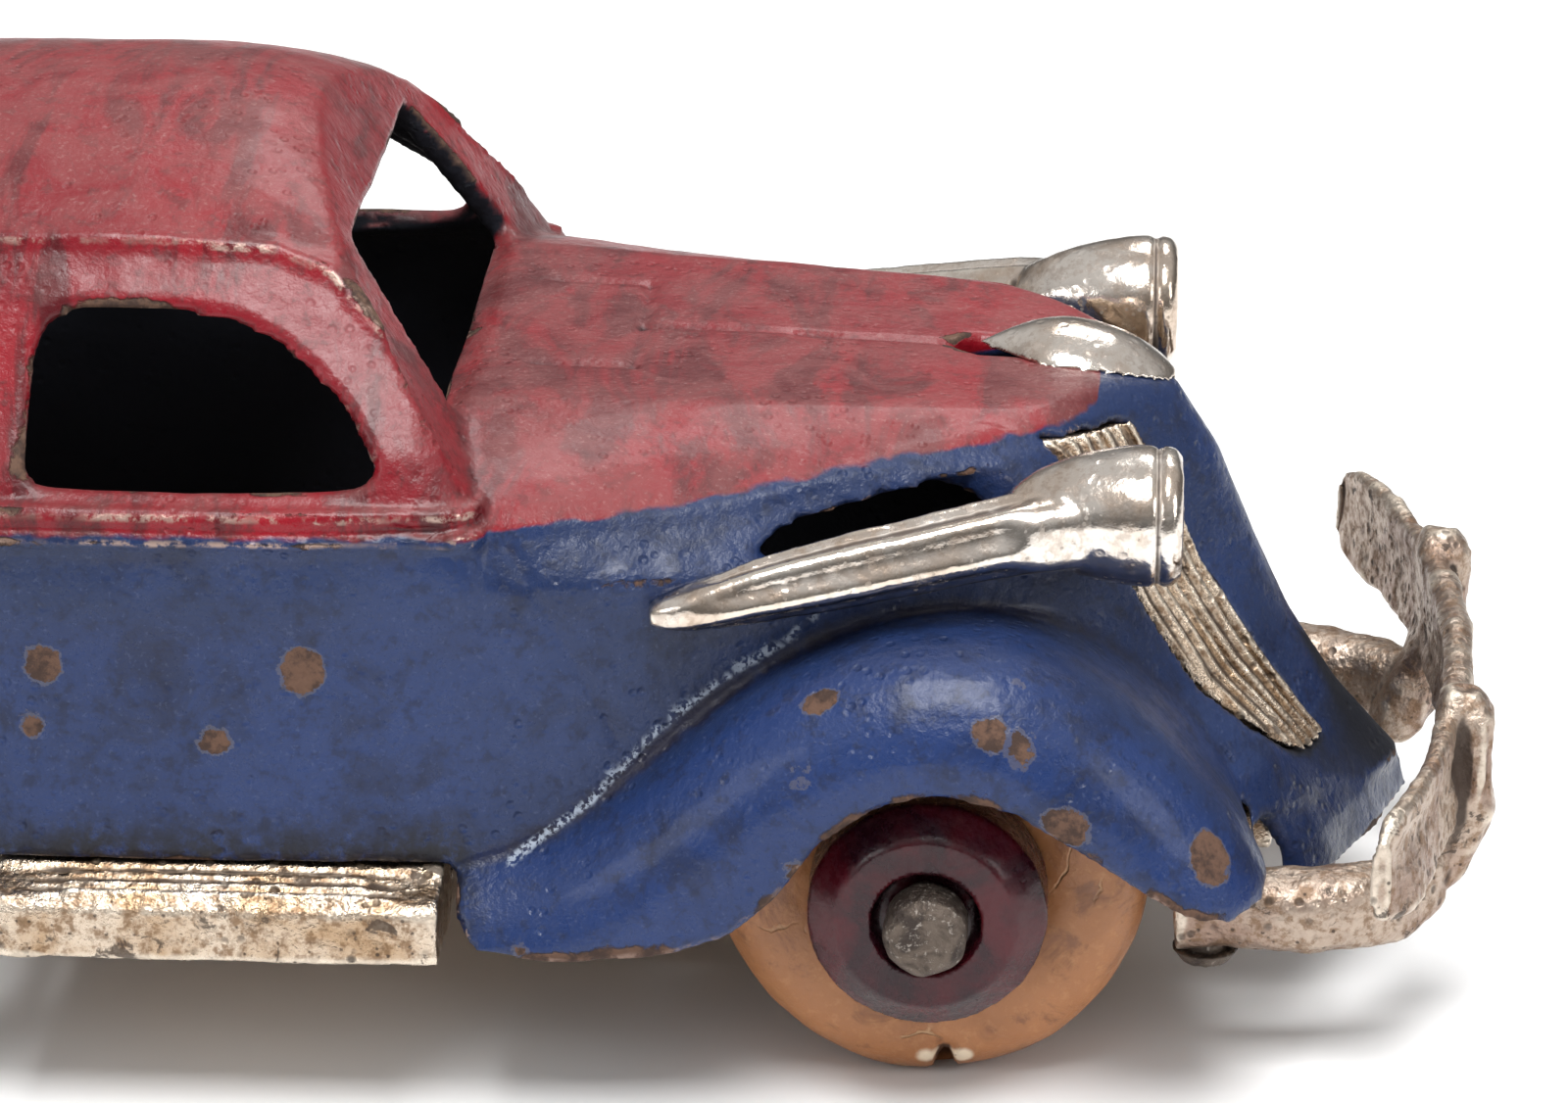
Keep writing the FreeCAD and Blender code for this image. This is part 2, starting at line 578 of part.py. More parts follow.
def bumper():
    """Front bumper casting: bowed bar, two guards, and two arms running back under the body."""
    mid_x = BUMPER_X - 2.0
    bar = []
    for step in (-1.0, -0.93, -0.78, -0.5, -0.22, 0.0, 0.22, 0.5, 0.78, 0.93, 1.0):
        share = abs(step)
        half_h = BUMPER_H / 2.0 * (1.0 - 0.10 * share * share - (0.30 if share == 1.0 else 0.0))
        half_t = BUMPER_T / 2.0 * (1.0 - (0.35 if share == 1.0 else 0.0))
        x = mid_x - BUMPER_BOW * share ** 2.2
        bar.append(rounded("y", step * BUMPER_HALF, (x, BUMPER_Z - 0.6 * share), half_t, half_h))
    pieces = [Part.makeLoft(bar, True, False)]
    guard = []
    rise = GUARD_TOP_Z - GUARD_FOOT_Z
    for share, dx, half in ((0.0, -2.9, 1.2), (0.12, -2.2, 1.8), (0.4, -0.4, 1.9), (0.7, 0.1, 2.0),
                            (0.92, 0.0, 1.6), (1.0, -0.2, 0.9)):
        z = GUARD_FOOT_Z + rise * share
        guard.append(rounded("z", z, (mid_x + dx, -GUARD_Y), half, half))
    pieces += both_sides(Part.makeLoft(guard, True, False))
    arm = []
    z = ARM_TOP_Z - ARM_H / 2.0
    for dx, y, dz in ((13.4, ARM_Y, 0.0), (18.5, ARM_Y, 0.0), (23.5, ARM_Y - 0.8, 0.0),
                      (26.6, ARM_Y - 3.2, 0.1), (28.4, GUARD_Y, 0.6)):
        arm.append(rounded("x", AXLE_X + dx, (-y, z + dz), ARM_W / 2.0, ARM_H / 2.0))
    pieces += both_sides(Part.makeLoft(arm, True, False))
    casting = fuse(pieces)
    holes = []
    for y in (-ARM_Y, ARM_Y):
        x = AXLE_X + 15.1
        holes.append(cylinder(RIVET_R + 0.05, (x, y, 0), (x, y, 30)))
    return casting.cut(holes)


# ---- plated trim ---------------------------------------------------------------------------
def grille():
    """Ribbed grille casting seen through the two openings of the nose."""
    front = box(AXLE_X + 2.0, AXLE_X + 40.0, -40.0, 40.0, 0.0, 60.0)
    deep = hull(WALL + 1.3)
    regions = fuse(both_sides(grille_region(0.12)))
    panels = hull(-0.15).cut(deep).common(regions)
    band = box(AXLE_X + 4.0, AXLE_X + 40.0, -12.6, 12.6, 18.0, 31.0)
    backing = hull(WALL + 0.1).cut(deep).common(band)
    plate = panels.fuse(backing)
    slots = []
    y = GRILLE_INNER + 0.8
    while y < GRILLE_OUTER - 0.5:
        slots += both_sides(box(AXLE_X + 2.0, AXLE_X + 40.0, -y - 0.16, -y + 0.16, 10.0, 60.0))
        y += RIB_PITCH
    grooves = fuse(slots).common(front).cut(hull(0.35))
    return plate.cut(grooves)


def crest():
    """Cap at the top of the nose, draped over the hood and the prow."""
    arches = []
    for dx, half, top, edge in ((2.0, 0.5, 35.7, 35.3), (4.0, 2.3, 36.5, 35.0),
                                (6.2, 0.84 * CREST_HALF, 37.0, 33.8), (8.4, CREST_HALF, 36.8, 32.2),
                                (10.4, CREST_HALF, 36.1, 31.4), (11.9, 0.80 * CREST_HALF, 35.2, 31.7),
                                (13.0, 0.35 * CREST_HALF, 34.1, 32.3)):
        x = AXLE_X + dx
        right = [(x, -half, edge), (x, -0.62 * half, edge + 0.72 * (top - edge)), (x, 0.0, top)]
        left = [(x, 0.62 * half, edge + 0.72 * (top - edge)), (x, half, edge)]
        foot = [(x, half, 29.5), (x, -half, 29.5)]
        edges = [spline(right + left)]
        for a, b in ((left[-1], foot[0]), (foot[0], foot[1]), (foot[1], right[0])):
            edges.append(Part.LineSegment(Vector(*a), Vector(*b)).toShape())
        arches.append(Part.Wire(edges))
    return largest(Part.makeLoft(arches, True, False).cut(hull(-0.04)))


def headlamp():
    """Right headlamp: bullet bowl with a long tapering tail along the hood."""
    front = AXLE_X + LAMP_FRONT
    side = []
    for back, share in ((9.6, 0.30), (8.2, 0.56), (6.4, 0.78), (4.2, 0.93), (2.2, 1.0), (0.9, 1.0)):
        side.append((front - back, -LAMP_Y, LAMP_Z + LAMP_R * share))
    rim = [(front - 0.35, -LAMP_Y, LAMP_Z + LAMP_R * 0.97), (front, -LAMP_Y, LAMP_Z + LAMP_R * 0.86),
           (front + 0.15, -LAMP_Y, LAMP_Z), (front - 9.6, -LAMP_Y, LAMP_Z)]
    edges = [spline(side)]
    corners = [side[-1]] + rim + [side[0]]
    for p, q in zip(corners[:-1], corners[1:]):
        edges.append(Part.LineSegment(Vector(*p), Vector(*q)).toShape())
    face = Part.Face(Part.Wire(edges))
    bowl = face.revolve(Vector(0, -LAMP_Y, LAMP_Z), Vector(1, 0, 0), 360.0)
    tail = []
    for dx, y, z, half_y, half_z in ((-14.9, 24.0, 28.4, 0.7, 0.55), (-13.6, 23.9, 28.6, 1.3, 1.0),
                                     (-11.0, 23.5, 29.1, 1.7, 1.3), (-6.5, 22.6, 30.0, 2.0, 1.6),
                                     (-1.0, 21.3, 30.9, 2.2, 1.75), (3.5, 20.1, 31.6, 2.3, 1.9),
                                     (8.0, 18.9, 32.0, 2.4, 2.1),
                                     (10.5, 18.2, 32.2, 1.8, 1.7)):
        tail.append(rounded("x", AXLE_X + dx, (-y, z), half_y, half_z))
    lamp = fuse([bowl, Part.makeLoft(tail, True, False)])
    return largest(lamp.cut(hull(-0.04)))


# ---- wheels --------------------------------------------------------------------------------
def turned(profile, x, side):
    """Solid of revolution about the axle. profile is (distance from centre line, radius)."""
    points = [(x, side * y, WHEEL_Z + r) for y, r in profile]
    face = Part.Face(closed_wire(points))
    return face.revolve(Vector(x, 0, WHEEL_Z), Vector(0, 1, 0), 360.0)


def hub(x, side):
    """Turned and painted hub: barrel, inner flange, and a recess round the axle head."""
    face = HUB_FACE_Y
    floor = face - HUB_RECESS_DEPTH
    bore = AXLE_R + RUNNING_FIT
    seat_end = WHEEL_MID + TYRE_W / 2.0
    seat_start = WHEEL_MID - TYRE_W / 2.0
    profile = [(HUB_BACK_Y, bore), (floor, bore), (floor, HUB_RECESS_R), (face, HUB_RECESS_R),
               (face, HUB_FACE_R), (face - 1.4, FLANGE_R), (seat_end + 0.05, FLANGE_R),
               (seat_end + 0.05, SEAT_R), (seat_start - 0.05, SEAT_R),
               (seat_start - 0.05, FLANGE_R), (HUB_BACK_Y, FLANGE_R)]
    return turned(profile, x, side)


def tyre(x, side):
    """Rubber tyre of balloon section, stretched over the hub."""
    half = TYRE_W / 2.0
    depth = TYRE_R - SEAT_R
    outer = []
    for share_y, share_r in ((-0.90, 0.10), (-0.985, 0.30), (-1.0, 0.50), (-0.93, 0.72),
                             (-0.74, 0.88), (-0.42, 0.975), (0.0, 1.0), (0.42, 0.975),
                             (0.74, 0.88), (0.93, 0.72), (1.0, 0.50), (0.985, 0.30), (0.90, 0.10)):
        outer.append((x, side * (WHEEL_MID + share_y * half), WHEEL_Z + SEAT_R + share_r * depth))
    a = (x, outer[-1][1], WHEEL_Z + SEAT_R + 0.02)
    b = (x, outer[0][1], WHEEL_Z + SEAT_R + 0.02)
    edges = [spline(outer)]
    for p, q in ((outer[-1], a), (a, b), (b, outer[0])):
        edges.append(Part.LineSegment(Vector(*p), Vector(*q)).toShape())
    face = Part.Face(Part.Wire(edges))
    return face.revolve(Vector(x, 0, WHEEL_Z), Vector(0, 1, 0), 360.0)


def axle(x):
    """Plain steel rod with both ends riveted over."""
    rod = cylinder(AXLE_R, (x, -AXLE_END_Y + 0.5, WHEEL_Z), (x, AXLE_END_Y - 0.5, WHEEL_Z))
    parts = [rod]
    for side in (-1.0, 1.0):
        inner = side * (AXLE_END_Y - AXLE_HEAD_T + 0.3)
        outer = side * (AXLE_END_Y - 0.5)
        tip = side * AXLE_END_Y
        parts.append(cylinder(AXLE_HEAD_R, (x, inner, WHEEL_Z), (x, outer, WHEEL_Z)))
        parts.append(cone(AXLE_HEAD_R, AXLE_HEAD_R - 0.5, (x, outer, WHEEL_Z), (x, tip, WHEEL_Z)))
    return fuse(parts)


# ---- write every piece ---------------------------------------------------------------------
def save(name, shape):
    solids = shape.Solids
    if len(solids) > 1:
        print(name, "pieces", [round(solid.Volume, 2) for solid in solids])
        shape = largest(shape)
    else:
        shape = solids[0]
    shape.exportStep("parts/" + name + ".step")
    size = shape.BoundBox
    print(name, len(solids), shape.isValid(), round(size.XLength, 2), round(size.YLength, 2),
          round(size.ZLength, 2))


os.makedirs("parts", exist_ok=True)
save("body_shell", body_shell())
save("chassis_frame", chassis_frame())
save("grille_insert", grille())
save("hood_crest", crest())
lamp_right = headlamp()
save("headlamp_right", lamp_right)
save("headlamp_left", mirror_y(lamp_right))
front = bumper()
save("front_bumper", front)
save("rear_bumper", mirror_x(front).cut(hull(-2.0 * FIT)))
save("body_screw_front", body_screw(FRONT_SCREW_X))
save("body_screw_rear", body_screw(REAR_SCREW_X))
for end, x in (("front", AXLE_X), ("rear", -AXLE_X)):
    save(end + "_axle", axle(x))
    rivet_x = x + math.copysign(15.1, x)
    for hand, side in (("left", 1.0), ("right", -1.0)):
        save("hub_" + end + "_" + hand, hub(x, side))
        save("tyre_" + end + "_" + hand, tyre(x, side))
        save(end + "_bumper_rivet_" + hand, bumper_rivet(rivet_x, side * ARM_Y))
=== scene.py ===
"""Cast-iron toy saloon: worn two-tone enamel, tarnished nickel trim and aged rubber tyres."""

import math

import bmesh
import bpy
import numpy as np
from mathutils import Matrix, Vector


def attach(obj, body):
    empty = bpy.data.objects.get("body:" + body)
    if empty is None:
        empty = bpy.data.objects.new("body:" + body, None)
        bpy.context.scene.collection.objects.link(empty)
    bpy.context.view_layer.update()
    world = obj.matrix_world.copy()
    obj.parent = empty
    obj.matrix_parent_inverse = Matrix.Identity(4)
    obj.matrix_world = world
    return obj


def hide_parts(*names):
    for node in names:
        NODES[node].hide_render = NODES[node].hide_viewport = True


bl_info = {
    "name": "Cast-iron toy saloon",
    "version": (1, 0, 0),
    "blender": (4, 5, 0),
    "location": "3D View > Sidebar > Toy car",
    "description": "Finishes the packed toy car: castings, plating, enamel, rubber and studio",
    "category": "Object",
}

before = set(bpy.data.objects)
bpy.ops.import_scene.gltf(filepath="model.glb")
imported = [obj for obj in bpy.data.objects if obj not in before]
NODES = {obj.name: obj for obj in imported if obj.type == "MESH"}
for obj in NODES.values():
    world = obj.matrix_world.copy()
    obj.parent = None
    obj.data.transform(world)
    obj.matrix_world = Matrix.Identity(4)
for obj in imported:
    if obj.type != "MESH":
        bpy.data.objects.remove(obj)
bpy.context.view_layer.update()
MM = 0.001
WELD_GAP = 0.01 * MM


# ---- sizes and colours ---------------------------------------------------------------------
class CastingSizes(bpy.types.PropertyGroup):
    body_voxel: bpy.props.FloatProperty(
        name="Body grain", description="Size of the finest detail in the body casting",
        default=0.37, min=0.3, max=2.0)
    trim_voxel: bpy.props.FloatProperty(
        name="Trim grain", description="Size of the finest detail in the plated castings",
        default=0.22, min=0.15, max=1.0)
    waviness: bpy.props.FloatProperty(
        name="Waviness", description="Height of the slow unevenness of the castings, in mm",
        default=0.12, min=0.0, max=0.5)


class PaintColours(bpy.types.PropertyGroup):
    blue: bpy.props.FloatVectorProperty(
        name="Lower enamel", description="Enamel below the belt", subtype="COLOR", size=3,
        default=(0.010, 0.021, 0.066), min=0.0, max=1.0)
    red: bpy.props.FloatVectorProperty(
        name="Upper enamel", description="Enamel above the belt", subtype="COLOR", size=3,
        default=(0.165, 0.006, 0.012), min=0.0, max=1.0)
    iron: bpy.props.FloatVectorProperty(
        name="Bare iron", description="Oxidised iron where the enamel has gone",
        subtype="COLOR", size=3, default=(0.045, 0.026, 0.020), min=0.0, max=1.0)
    maroon: bpy.props.FloatVectorProperty(
        name="Hub enamel", description="Enamel on the wheel hubs", subtype="COLOR", size=3,
        default=(0.018, 0.003, 0.006), min=0.0, max=1.0)
    rubber: bpy.props.FloatVectorProperty(
        name="Rubber", description="Aged tyre rubber", subtype="COLOR", size=3,
        default=(0.400, 0.165, 0.060), min=0.0, max=1.0)
    nickel: bpy.props.FloatVectorProperty(
        name="Nickel", description="Clean nickel plate", subtype="COLOR", size=3,
        default=(0.800, 0.730, 0.660), min=0.0, max=1.0)


class StudioSizes(bpy.types.PropertyGroup):
    key_power: bpy.props.FloatProperty(
        name="Key light", description="Power of the overhead soft light, in watts",
        default=4.8, min=0.0, max=50.0)
    fill_power: bpy.props.FloatProperty(
        name="Fill light", description="Power of the soft side lights, in watts",
        default=0.9, min=0.0, max=50.0)
    floor_size: bpy.props.FloatProperty(
        name="Floor", description="Width of the pale floor", subtype="DISTANCE", unit="LENGTH",
        default=6.0, min=1.0, max=20.0)


def casting():
    return bpy.context.scene.toy_casting


def paint():
    return bpy.context.scene.toy_paint


def studio():
    return bpy.context.scene.toy_studio


# ---- mesh helpers --------------------------------------------------------------------------
def pick(obj):
    """Make obj the only selected object, and the active one."""
    bpy.ops.object.select_all(action="DESELECT")
    obj.select_set(True)
    bpy.context.view_layer.objects.active = obj
    return obj


def apply_modifier(obj, kind, **settings):
    """Add a modifier, set it and apply it."""
    pick(obj)
    modifier = obj.modifiers.new(kind.title(), kind)
    for key, value in settings.items():
        setattr(modifier, key, value)
    bpy.ops.object.modifier_apply(modifier=modifier.name)


def weld(obj):
    """Join the loose triangles of a copied node."""
    pick(obj)
    bpy.ops.object.mode_set(mode="EDIT")
    bpy.ops.mesh.select_all(action="SELECT")
    bpy.ops.mesh.remove_doubles(threshold=WELD_GAP)
    bpy.ops.object.mode_set(mode="OBJECT")


def copy_node(node, name):
    """A welded copy of a CAD node, ready to be worked as a casting."""
    obj = bpy.data.objects.new(name, NODES[node].data.copy())
    bpy.context.scene.collection.objects.link(obj)
    obj.data.materials.clear()
    weld(obj)
    return obj


def smooth_casting(obj, voxel, passes):
    """Soften a copied node all over, as sand casting softens its pattern."""
    apply_modifier(obj, "REMESH", mode="VOXEL", voxel_size=voxel * MM, adaptivity=0.0)
    apply_modifier(obj, "SMOOTH", factor=0.5, iterations=passes)


def thin_out(obj, triangles):
    """Bring a mesh down to a number of triangles."""
    count = sum(len(polygon.vertices) - 2 for polygon in obj.data.polygons)
    if count > triangles:
        apply_modifier(obj, "DECIMATE", ratio=triangles / count)
    pick(obj)
    bpy.ops.object.shade_smooth()


def read_points(obj):
    """Places in mm, and directions, of every vertex."""
    mesh = obj.data
    points = np.empty(len(mesh.vertices) * 3, dtype=np.float64)
    mesh.vertices.foreach_get("co", points)
    normals = np.empty(len(mesh.vertices) * 3, dtype=np.float64)
    mesh.vertices.foreach_get("normal", normals)
    return points.reshape(-1, 3) / MM, normals.reshape(-1, 3)


def write_points(obj, points):
    """Put the vertices at new places, in mm."""
    obj.data.vertices.foreach_set("co", (points * MM).astype(np.float32).ravel())
    obj.data.update()


def line_distance(u, v, line):
    """Distance of each (u, v) from a run of straight pieces."""
    best = np.full(len(u), 1e9)
    for (a, b), (c, d) in zip(line[:-1], line[1:]):
        du = c - a
        dv = d - b
        along = np.clip(((u - a) * du + (v - b) * dv) / max(du * du + dv * dv, 1e-9), 0.0, 1.0)
        best = np.minimum(best, np.hypot(u - a - along * du, v - b - along * dv))
    return best


def soft_step(low, high, value):
    """0 at low and 1 at high, easing in and out; low may be the larger."""
    t = np.clip((value - low) / (high - low), 0.0, 1.0)
    return t * t * (3.0 - 2.0 * t)


def raise_side_line(points, normals, line, height, width, least_y=12.0):
    """Push the outer faces of the sides in or out along a line drawn in X and Z."""
    side = np.abs(points[:, 1])
    outward = normals[:, 1] * np.sign(points[:, 1])
    mask = soft_step(0.05, 0.35, outward) * (side > least_y)
    near = np.exp(-(line_distance(points[:, 0], points[:, 2], line) / width) ** 2)
    points += normals * (height * near * mask)[:, None]


def raise_top_line(points, normals, line, height, width, least_z=33.0):
    """Push the upper faces in or out along a line drawn in X and Y."""
    mask = soft_step(0.4, 0.7, normals[:, 2]) * (points[:, 2] > least_z)
    near = np.exp(-(line_distance(points[:, 0], points[:, 1], line) / width) ** 2)
    points += normals * (height * near * mask)[:, None]


def edge_arrays(obj):
    """The two vertex numbers of every edge."""
    edges = np.empty(len(obj.data.edges) * 2, dtype=np.int64)
    obj.data.edges.foreach_get("vertices", edges)
    return edges.reshape(-1, 2)


def spread(values, edges, rounds):
    """Average values over neighbouring vertices, rounds times."""
    count = np.bincount(edges.ravel(), minlength=len(values)).astype(np.float64)
    count = np.maximum(count, 1.0)
    flat = values.reshape(len(values), -1)
    for _ in range(rounds):
        total = np.zeros_like(flat)
        for column in range(flat.shape[1]):
            total[:, column] = (
                np.bincount(edges[:, 0], weights=flat[edges[:, 1], column], minlength=len(flat))
                + np.bincount(edges[:, 1], weights=flat[edges[:, 0], column], minlength=len(flat)))
        flat = 0.5 * flat + 0.5 * total / count[:, None]
    return flat.reshape(values.shape)


def store(obj, name, values):
    """Keep a value from 0 to 1 on every point for the materials to read."""
    layer = obj.data.attributes.new(name, "FLOAT", "POINT")
    layer.data.foreach_set("value", np.clip(values, 0.0, 1.0).astype(np.float32))


def mark_relief(obj, rounds, scale):
    """Store how far each point stands out of its surroundings: proud edges and hollows."""
    points, normals = read_points(obj)
    edges = edge_arrays(obj)
    smooth = spread(points, edges, rounds)
    relief = np.einsum("ij,ij->i", points - smooth, normals) / scale
    relief = spread(relief, edges, 2)
    store(obj, "proud", relief)
    store(obj, "hollow", -relief)


LATTICE = 37
LATTICE_SHIFT = 900.0


def lattice_noise(points, size, seed):
    """Smooth random values in -1..1 on a grid of the given size, the same every time."""
    random = np.random.RandomState(seed)
    table = random.uniform(-1.0, 1.0, (LATTICE, LATTICE, LATTICE))
    grid = points / size + LATTICE_SHIFT
    cell = np.floor(grid).astype(np.int64)
    t = grid - cell
    t = t * t * (3.0 - 2.0 * t)
    value = np.zeros(len(points))
    for i in (0, 1):
        for j in (0, 1):
            for k in (0, 1):
                weight = (np.abs(1 - i - t[:, 0]) * np.abs(1 - j - t[:, 1])
                          * np.abs(1 - k - t[:, 2]))
                corner = (cell + (i, j, k)) % LATTICE
                value += weight * table[corner[:, 0], corner[:, 1], corner[:, 2]]
    return value


def roughen(obj, layers):
    """Uneven cast surface: each layer is (size of the bumps in mm, height in mm, seed)."""
    points, normals = read_points(obj)
    start = points.copy()
    for size, height, seed in layers:
        points += normals * (height * lattice_noise(start, size, seed))[:, None]
    write_points(obj, points)


def finish_piece(obj, material, body, slot, *nodes):
    """Give a piece its material and tell the frame what it is."""
    obj.data.materials.clear()
    obj.data.materials.append(material)
    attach(obj, body)
    if nodes:
        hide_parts(*nodes)


# ---- material helpers ----------------------------------------------------------------------
class Wiring:
    """Short names for adding nodes to one node tree."""

    def __init__(self, tree):
        self.tree = tree

    def add(self, kind, inputs=None, **settings):
        node = self.tree.nodes.new(kind)
        for key, value in settings.items():
            setattr(node, key, value)
        for key, value in (inputs or {}).items():
            self.feed(node.inputs[key], value)
        return node

    def feed(self, socket, value):
        if isinstance(value, bpy.types.NodeSocket):
            self.tree.links.new(value, socket)
        else:
            socket.default_value = value

    def math(self, operation, a, b=0.0, c=0.0):
        node = self.add("ShaderNodeMath", operation=operation)
        for socket, value in zip(node.inputs, (a, b, c)):
            self.feed(socket, value)
        return node.outputs[0]

    def noise(self, place, scale, detail=3.0, rough=0.5, warp=0.0):
        node = self.add("ShaderNodeTexNoise", {
            "Vector": place, "Scale": scale, "Detail": detail, "Roughness": rough,
            "Distortion": warp})
        return node.outputs["Fac"]

    def cells(self, place, scale, feature="F1"):
        node = self.add("ShaderNodeTexVoronoi",
                        {"Vector": place, "Scale": scale, "Randomness": 1.0}, feature=feature)
        return node.outputs["Distance"]

    def step(self, value, low, high, out_low=0.0, out_high=1.0):
        node = self.add("ShaderNodeMapRange", {
            "Value": value, "From Min": low, "From Max": high, "To Min": out_low,
            "To Max": out_high}, interpolation_type="SMOOTHSTEP")
        return node.outputs["Result"]

    def blend(self, share, a, b):
        """Mix two colours, each a socket or three numbers."""
        node = self.add("ShaderNodeMix", data_type="RGBA", blend_type="MIX")
        self.feed(node.inputs[0], share)
        for socket, value in ((node.inputs[6], a), (node.inputs[7], b)):
            self.feed(socket, value + (1.0,) if isinstance(value, tuple) else value)
        return node.outputs[2]

    def lerp(self, share, a, b):
        node = self.add("ShaderNodeMix", data_type="FLOAT")
        self.feed(node.inputs[0], share)
        self.feed(node.inputs[2], a)
        self.feed(node.inputs[3], b)
        return node.outputs[0]

    def attribute(self, name):
        node = self.add("ShaderNodeAttribute", attribute_name=name, attribute_type="GEOMETRY")
        return node.outputs["Fac"]


def new_group(name, inputs, outputs):
    """An empty shader node group with the named sockets."""
    group = bpy.data.node_groups.new(name, "ShaderNodeTree")
    for label, kind, default in inputs:
        socket = group.interface.new_socket(label, in_out="INPUT", socket_type=kind)
        if default is not None:
            socket.default_value = default
    for label, kind in outputs:
        group.interface.new_socket(label, in_out="OUTPUT", socket_type=kind)
    wiring = Wiring(group)
    start = wiring.add("NodeGroupInput")
    end = wiring.add("NodeGroupOutput")
    return group, wiring, start, end


def new_material(name):
    """A material with only its shader and output, and the place on the object to draw by."""
    material = bpy.data.materials.new(name)
    material.use_nodes = True
    material.node_tree.nodes.clear()
    wiring = Wiring(material.node_tree)
    shader = wiring.add("ShaderNodeBsdfPrincipled")
    output = wiring.add("ShaderNodeOutputMaterial")
    wiring.tree.links.new(shader.outputs[0], output.inputs[0])
    place = wiring.add("ShaderNodeTexCoord").outputs["Object"]
    return material, wiring, shader, place


def group_node(wiring, group, values):
    """Place a shared effect in a material with its own values."""
    node = wiring.add("ShaderNodeGroup")
    node.node_tree = group
    for key, value in values.items():
        wiring.feed(node.inputs[key], value)
    return node


def chip_group():
    """Where paint or plate has gone: on proud edges first, and in scattered round spots."""
    group, w, start, end = new_group(
        "Chips and wear",
        (("Place", "NodeSocketVector", None), ("Edge", "NodeSocketFloat", 0.0),
         ("Edge wear", "NodeSocketFloat", 0.5), ("Spots", "NodeSocketFloat", 0.5)),
        (("Edge mask", "NodeSocketFloat"), ("Spot mask", "NodeSocketFloat"),
         ("Rim", "NodeSocketFloat")))
    place = start.outputs["Place"]
    broken = w.noise(place, 1500.0, 4.0, 0.65, 0.4)
    drift = w.noise(place, 150.0, 2.0, 0.5)
    reach = w.math("MULTIPLY", start.outputs["Edge"], start.outputs["Edge wear"])
    reach = w.math("MULTIPLY", reach, w.step(drift, 0.36, 0.66, 0.15, 1.4))
    edge = w.step(w.math("ADD", reach, w.math("MULTIPLY", broken, 0.50)), 0.80, 0.92)
    ragged = w.math("MULTIPLY_ADD", w.noise(place, 1300.0, 4.0, 0.7), 0.26, -0.13)
    away = w.math("ADD", w.cells(place, 215.0), ragged)
    limit = w.math("MULTIPLY_ADD", w.noise(place, 120.0, 1.0, 0.5), 1.10, -0.62)
    limit = w.math("ADD", limit, w.math("MULTIPLY", start.outputs["Spots"], 0.22))
    spots = w.math("LESS_THAN", away, limit)
    rim = w.math("LESS_THAN", away, w.math("ADD", limit, 0.035))
    w.feed(end.inputs["Edge mask"], edge)
    w.feed(end.inputs["Spot mask"], spots)
    w.feed(end.inputs["Rim"], w.math("SUBTRACT", rim, spots))
    return group


def cast_group():
    """Height of a sand-cast surface: slow swells, grain, and scattered pits."""
    group, w, start, end = new_group(
        "Sand-cast skin",
        (("Place", "NodeSocketVector", None), ("Grain", "NodeSocketFloat", 1.0),
         ("Pits", "NodeSocketFloat", 1.0)),
        (("Height", "NodeSocketFloat"), ("Pit mask", "NodeSocketFloat")))
    place = start.outputs["Place"]
    swell = w.noise(place, 320.0, 2.0, 0.5)
    grain = w.noise(place, 1900.0, 4.0, 0.6)
    cells = w.cells(place, 1050.0)
    patch = w.step(w.noise(place, 210.0, 2.0, 0.5), 0.42, 0.62)
    pits = w.math("MULTIPLY", w.step(cells, 0.34, 0.10), patch)
    height = w.math("MULTIPLY_ADD", swell, 1.2, w.math("MULTIPLY", grain, start.outputs["Grain"]))
    height = w.math("SUBTRACT", height, w.math("MULTIPLY", pits, start.outputs["Pits"]))
    w.feed(end.inputs["Height"], height)
    w.feed(end.inputs["Pit mask"], pits)
    return group


GROUPS = {}


def shared(name):
    """The node group for an effect, built once."""
    if name not in GROUPS:
        GROUPS[name] = {"chips": chip_group, "cast": cast_group}[name]()
    return GROUPS[name]


def bump(w, height, distance):
    """Surface direction from a height, whose full step is distance in mm."""
    node = w.add("ShaderNodeBump",
                 {"Height": height, "Strength": 1.0, "Distance": distance * MM})
    return node.outputs["Normal"]


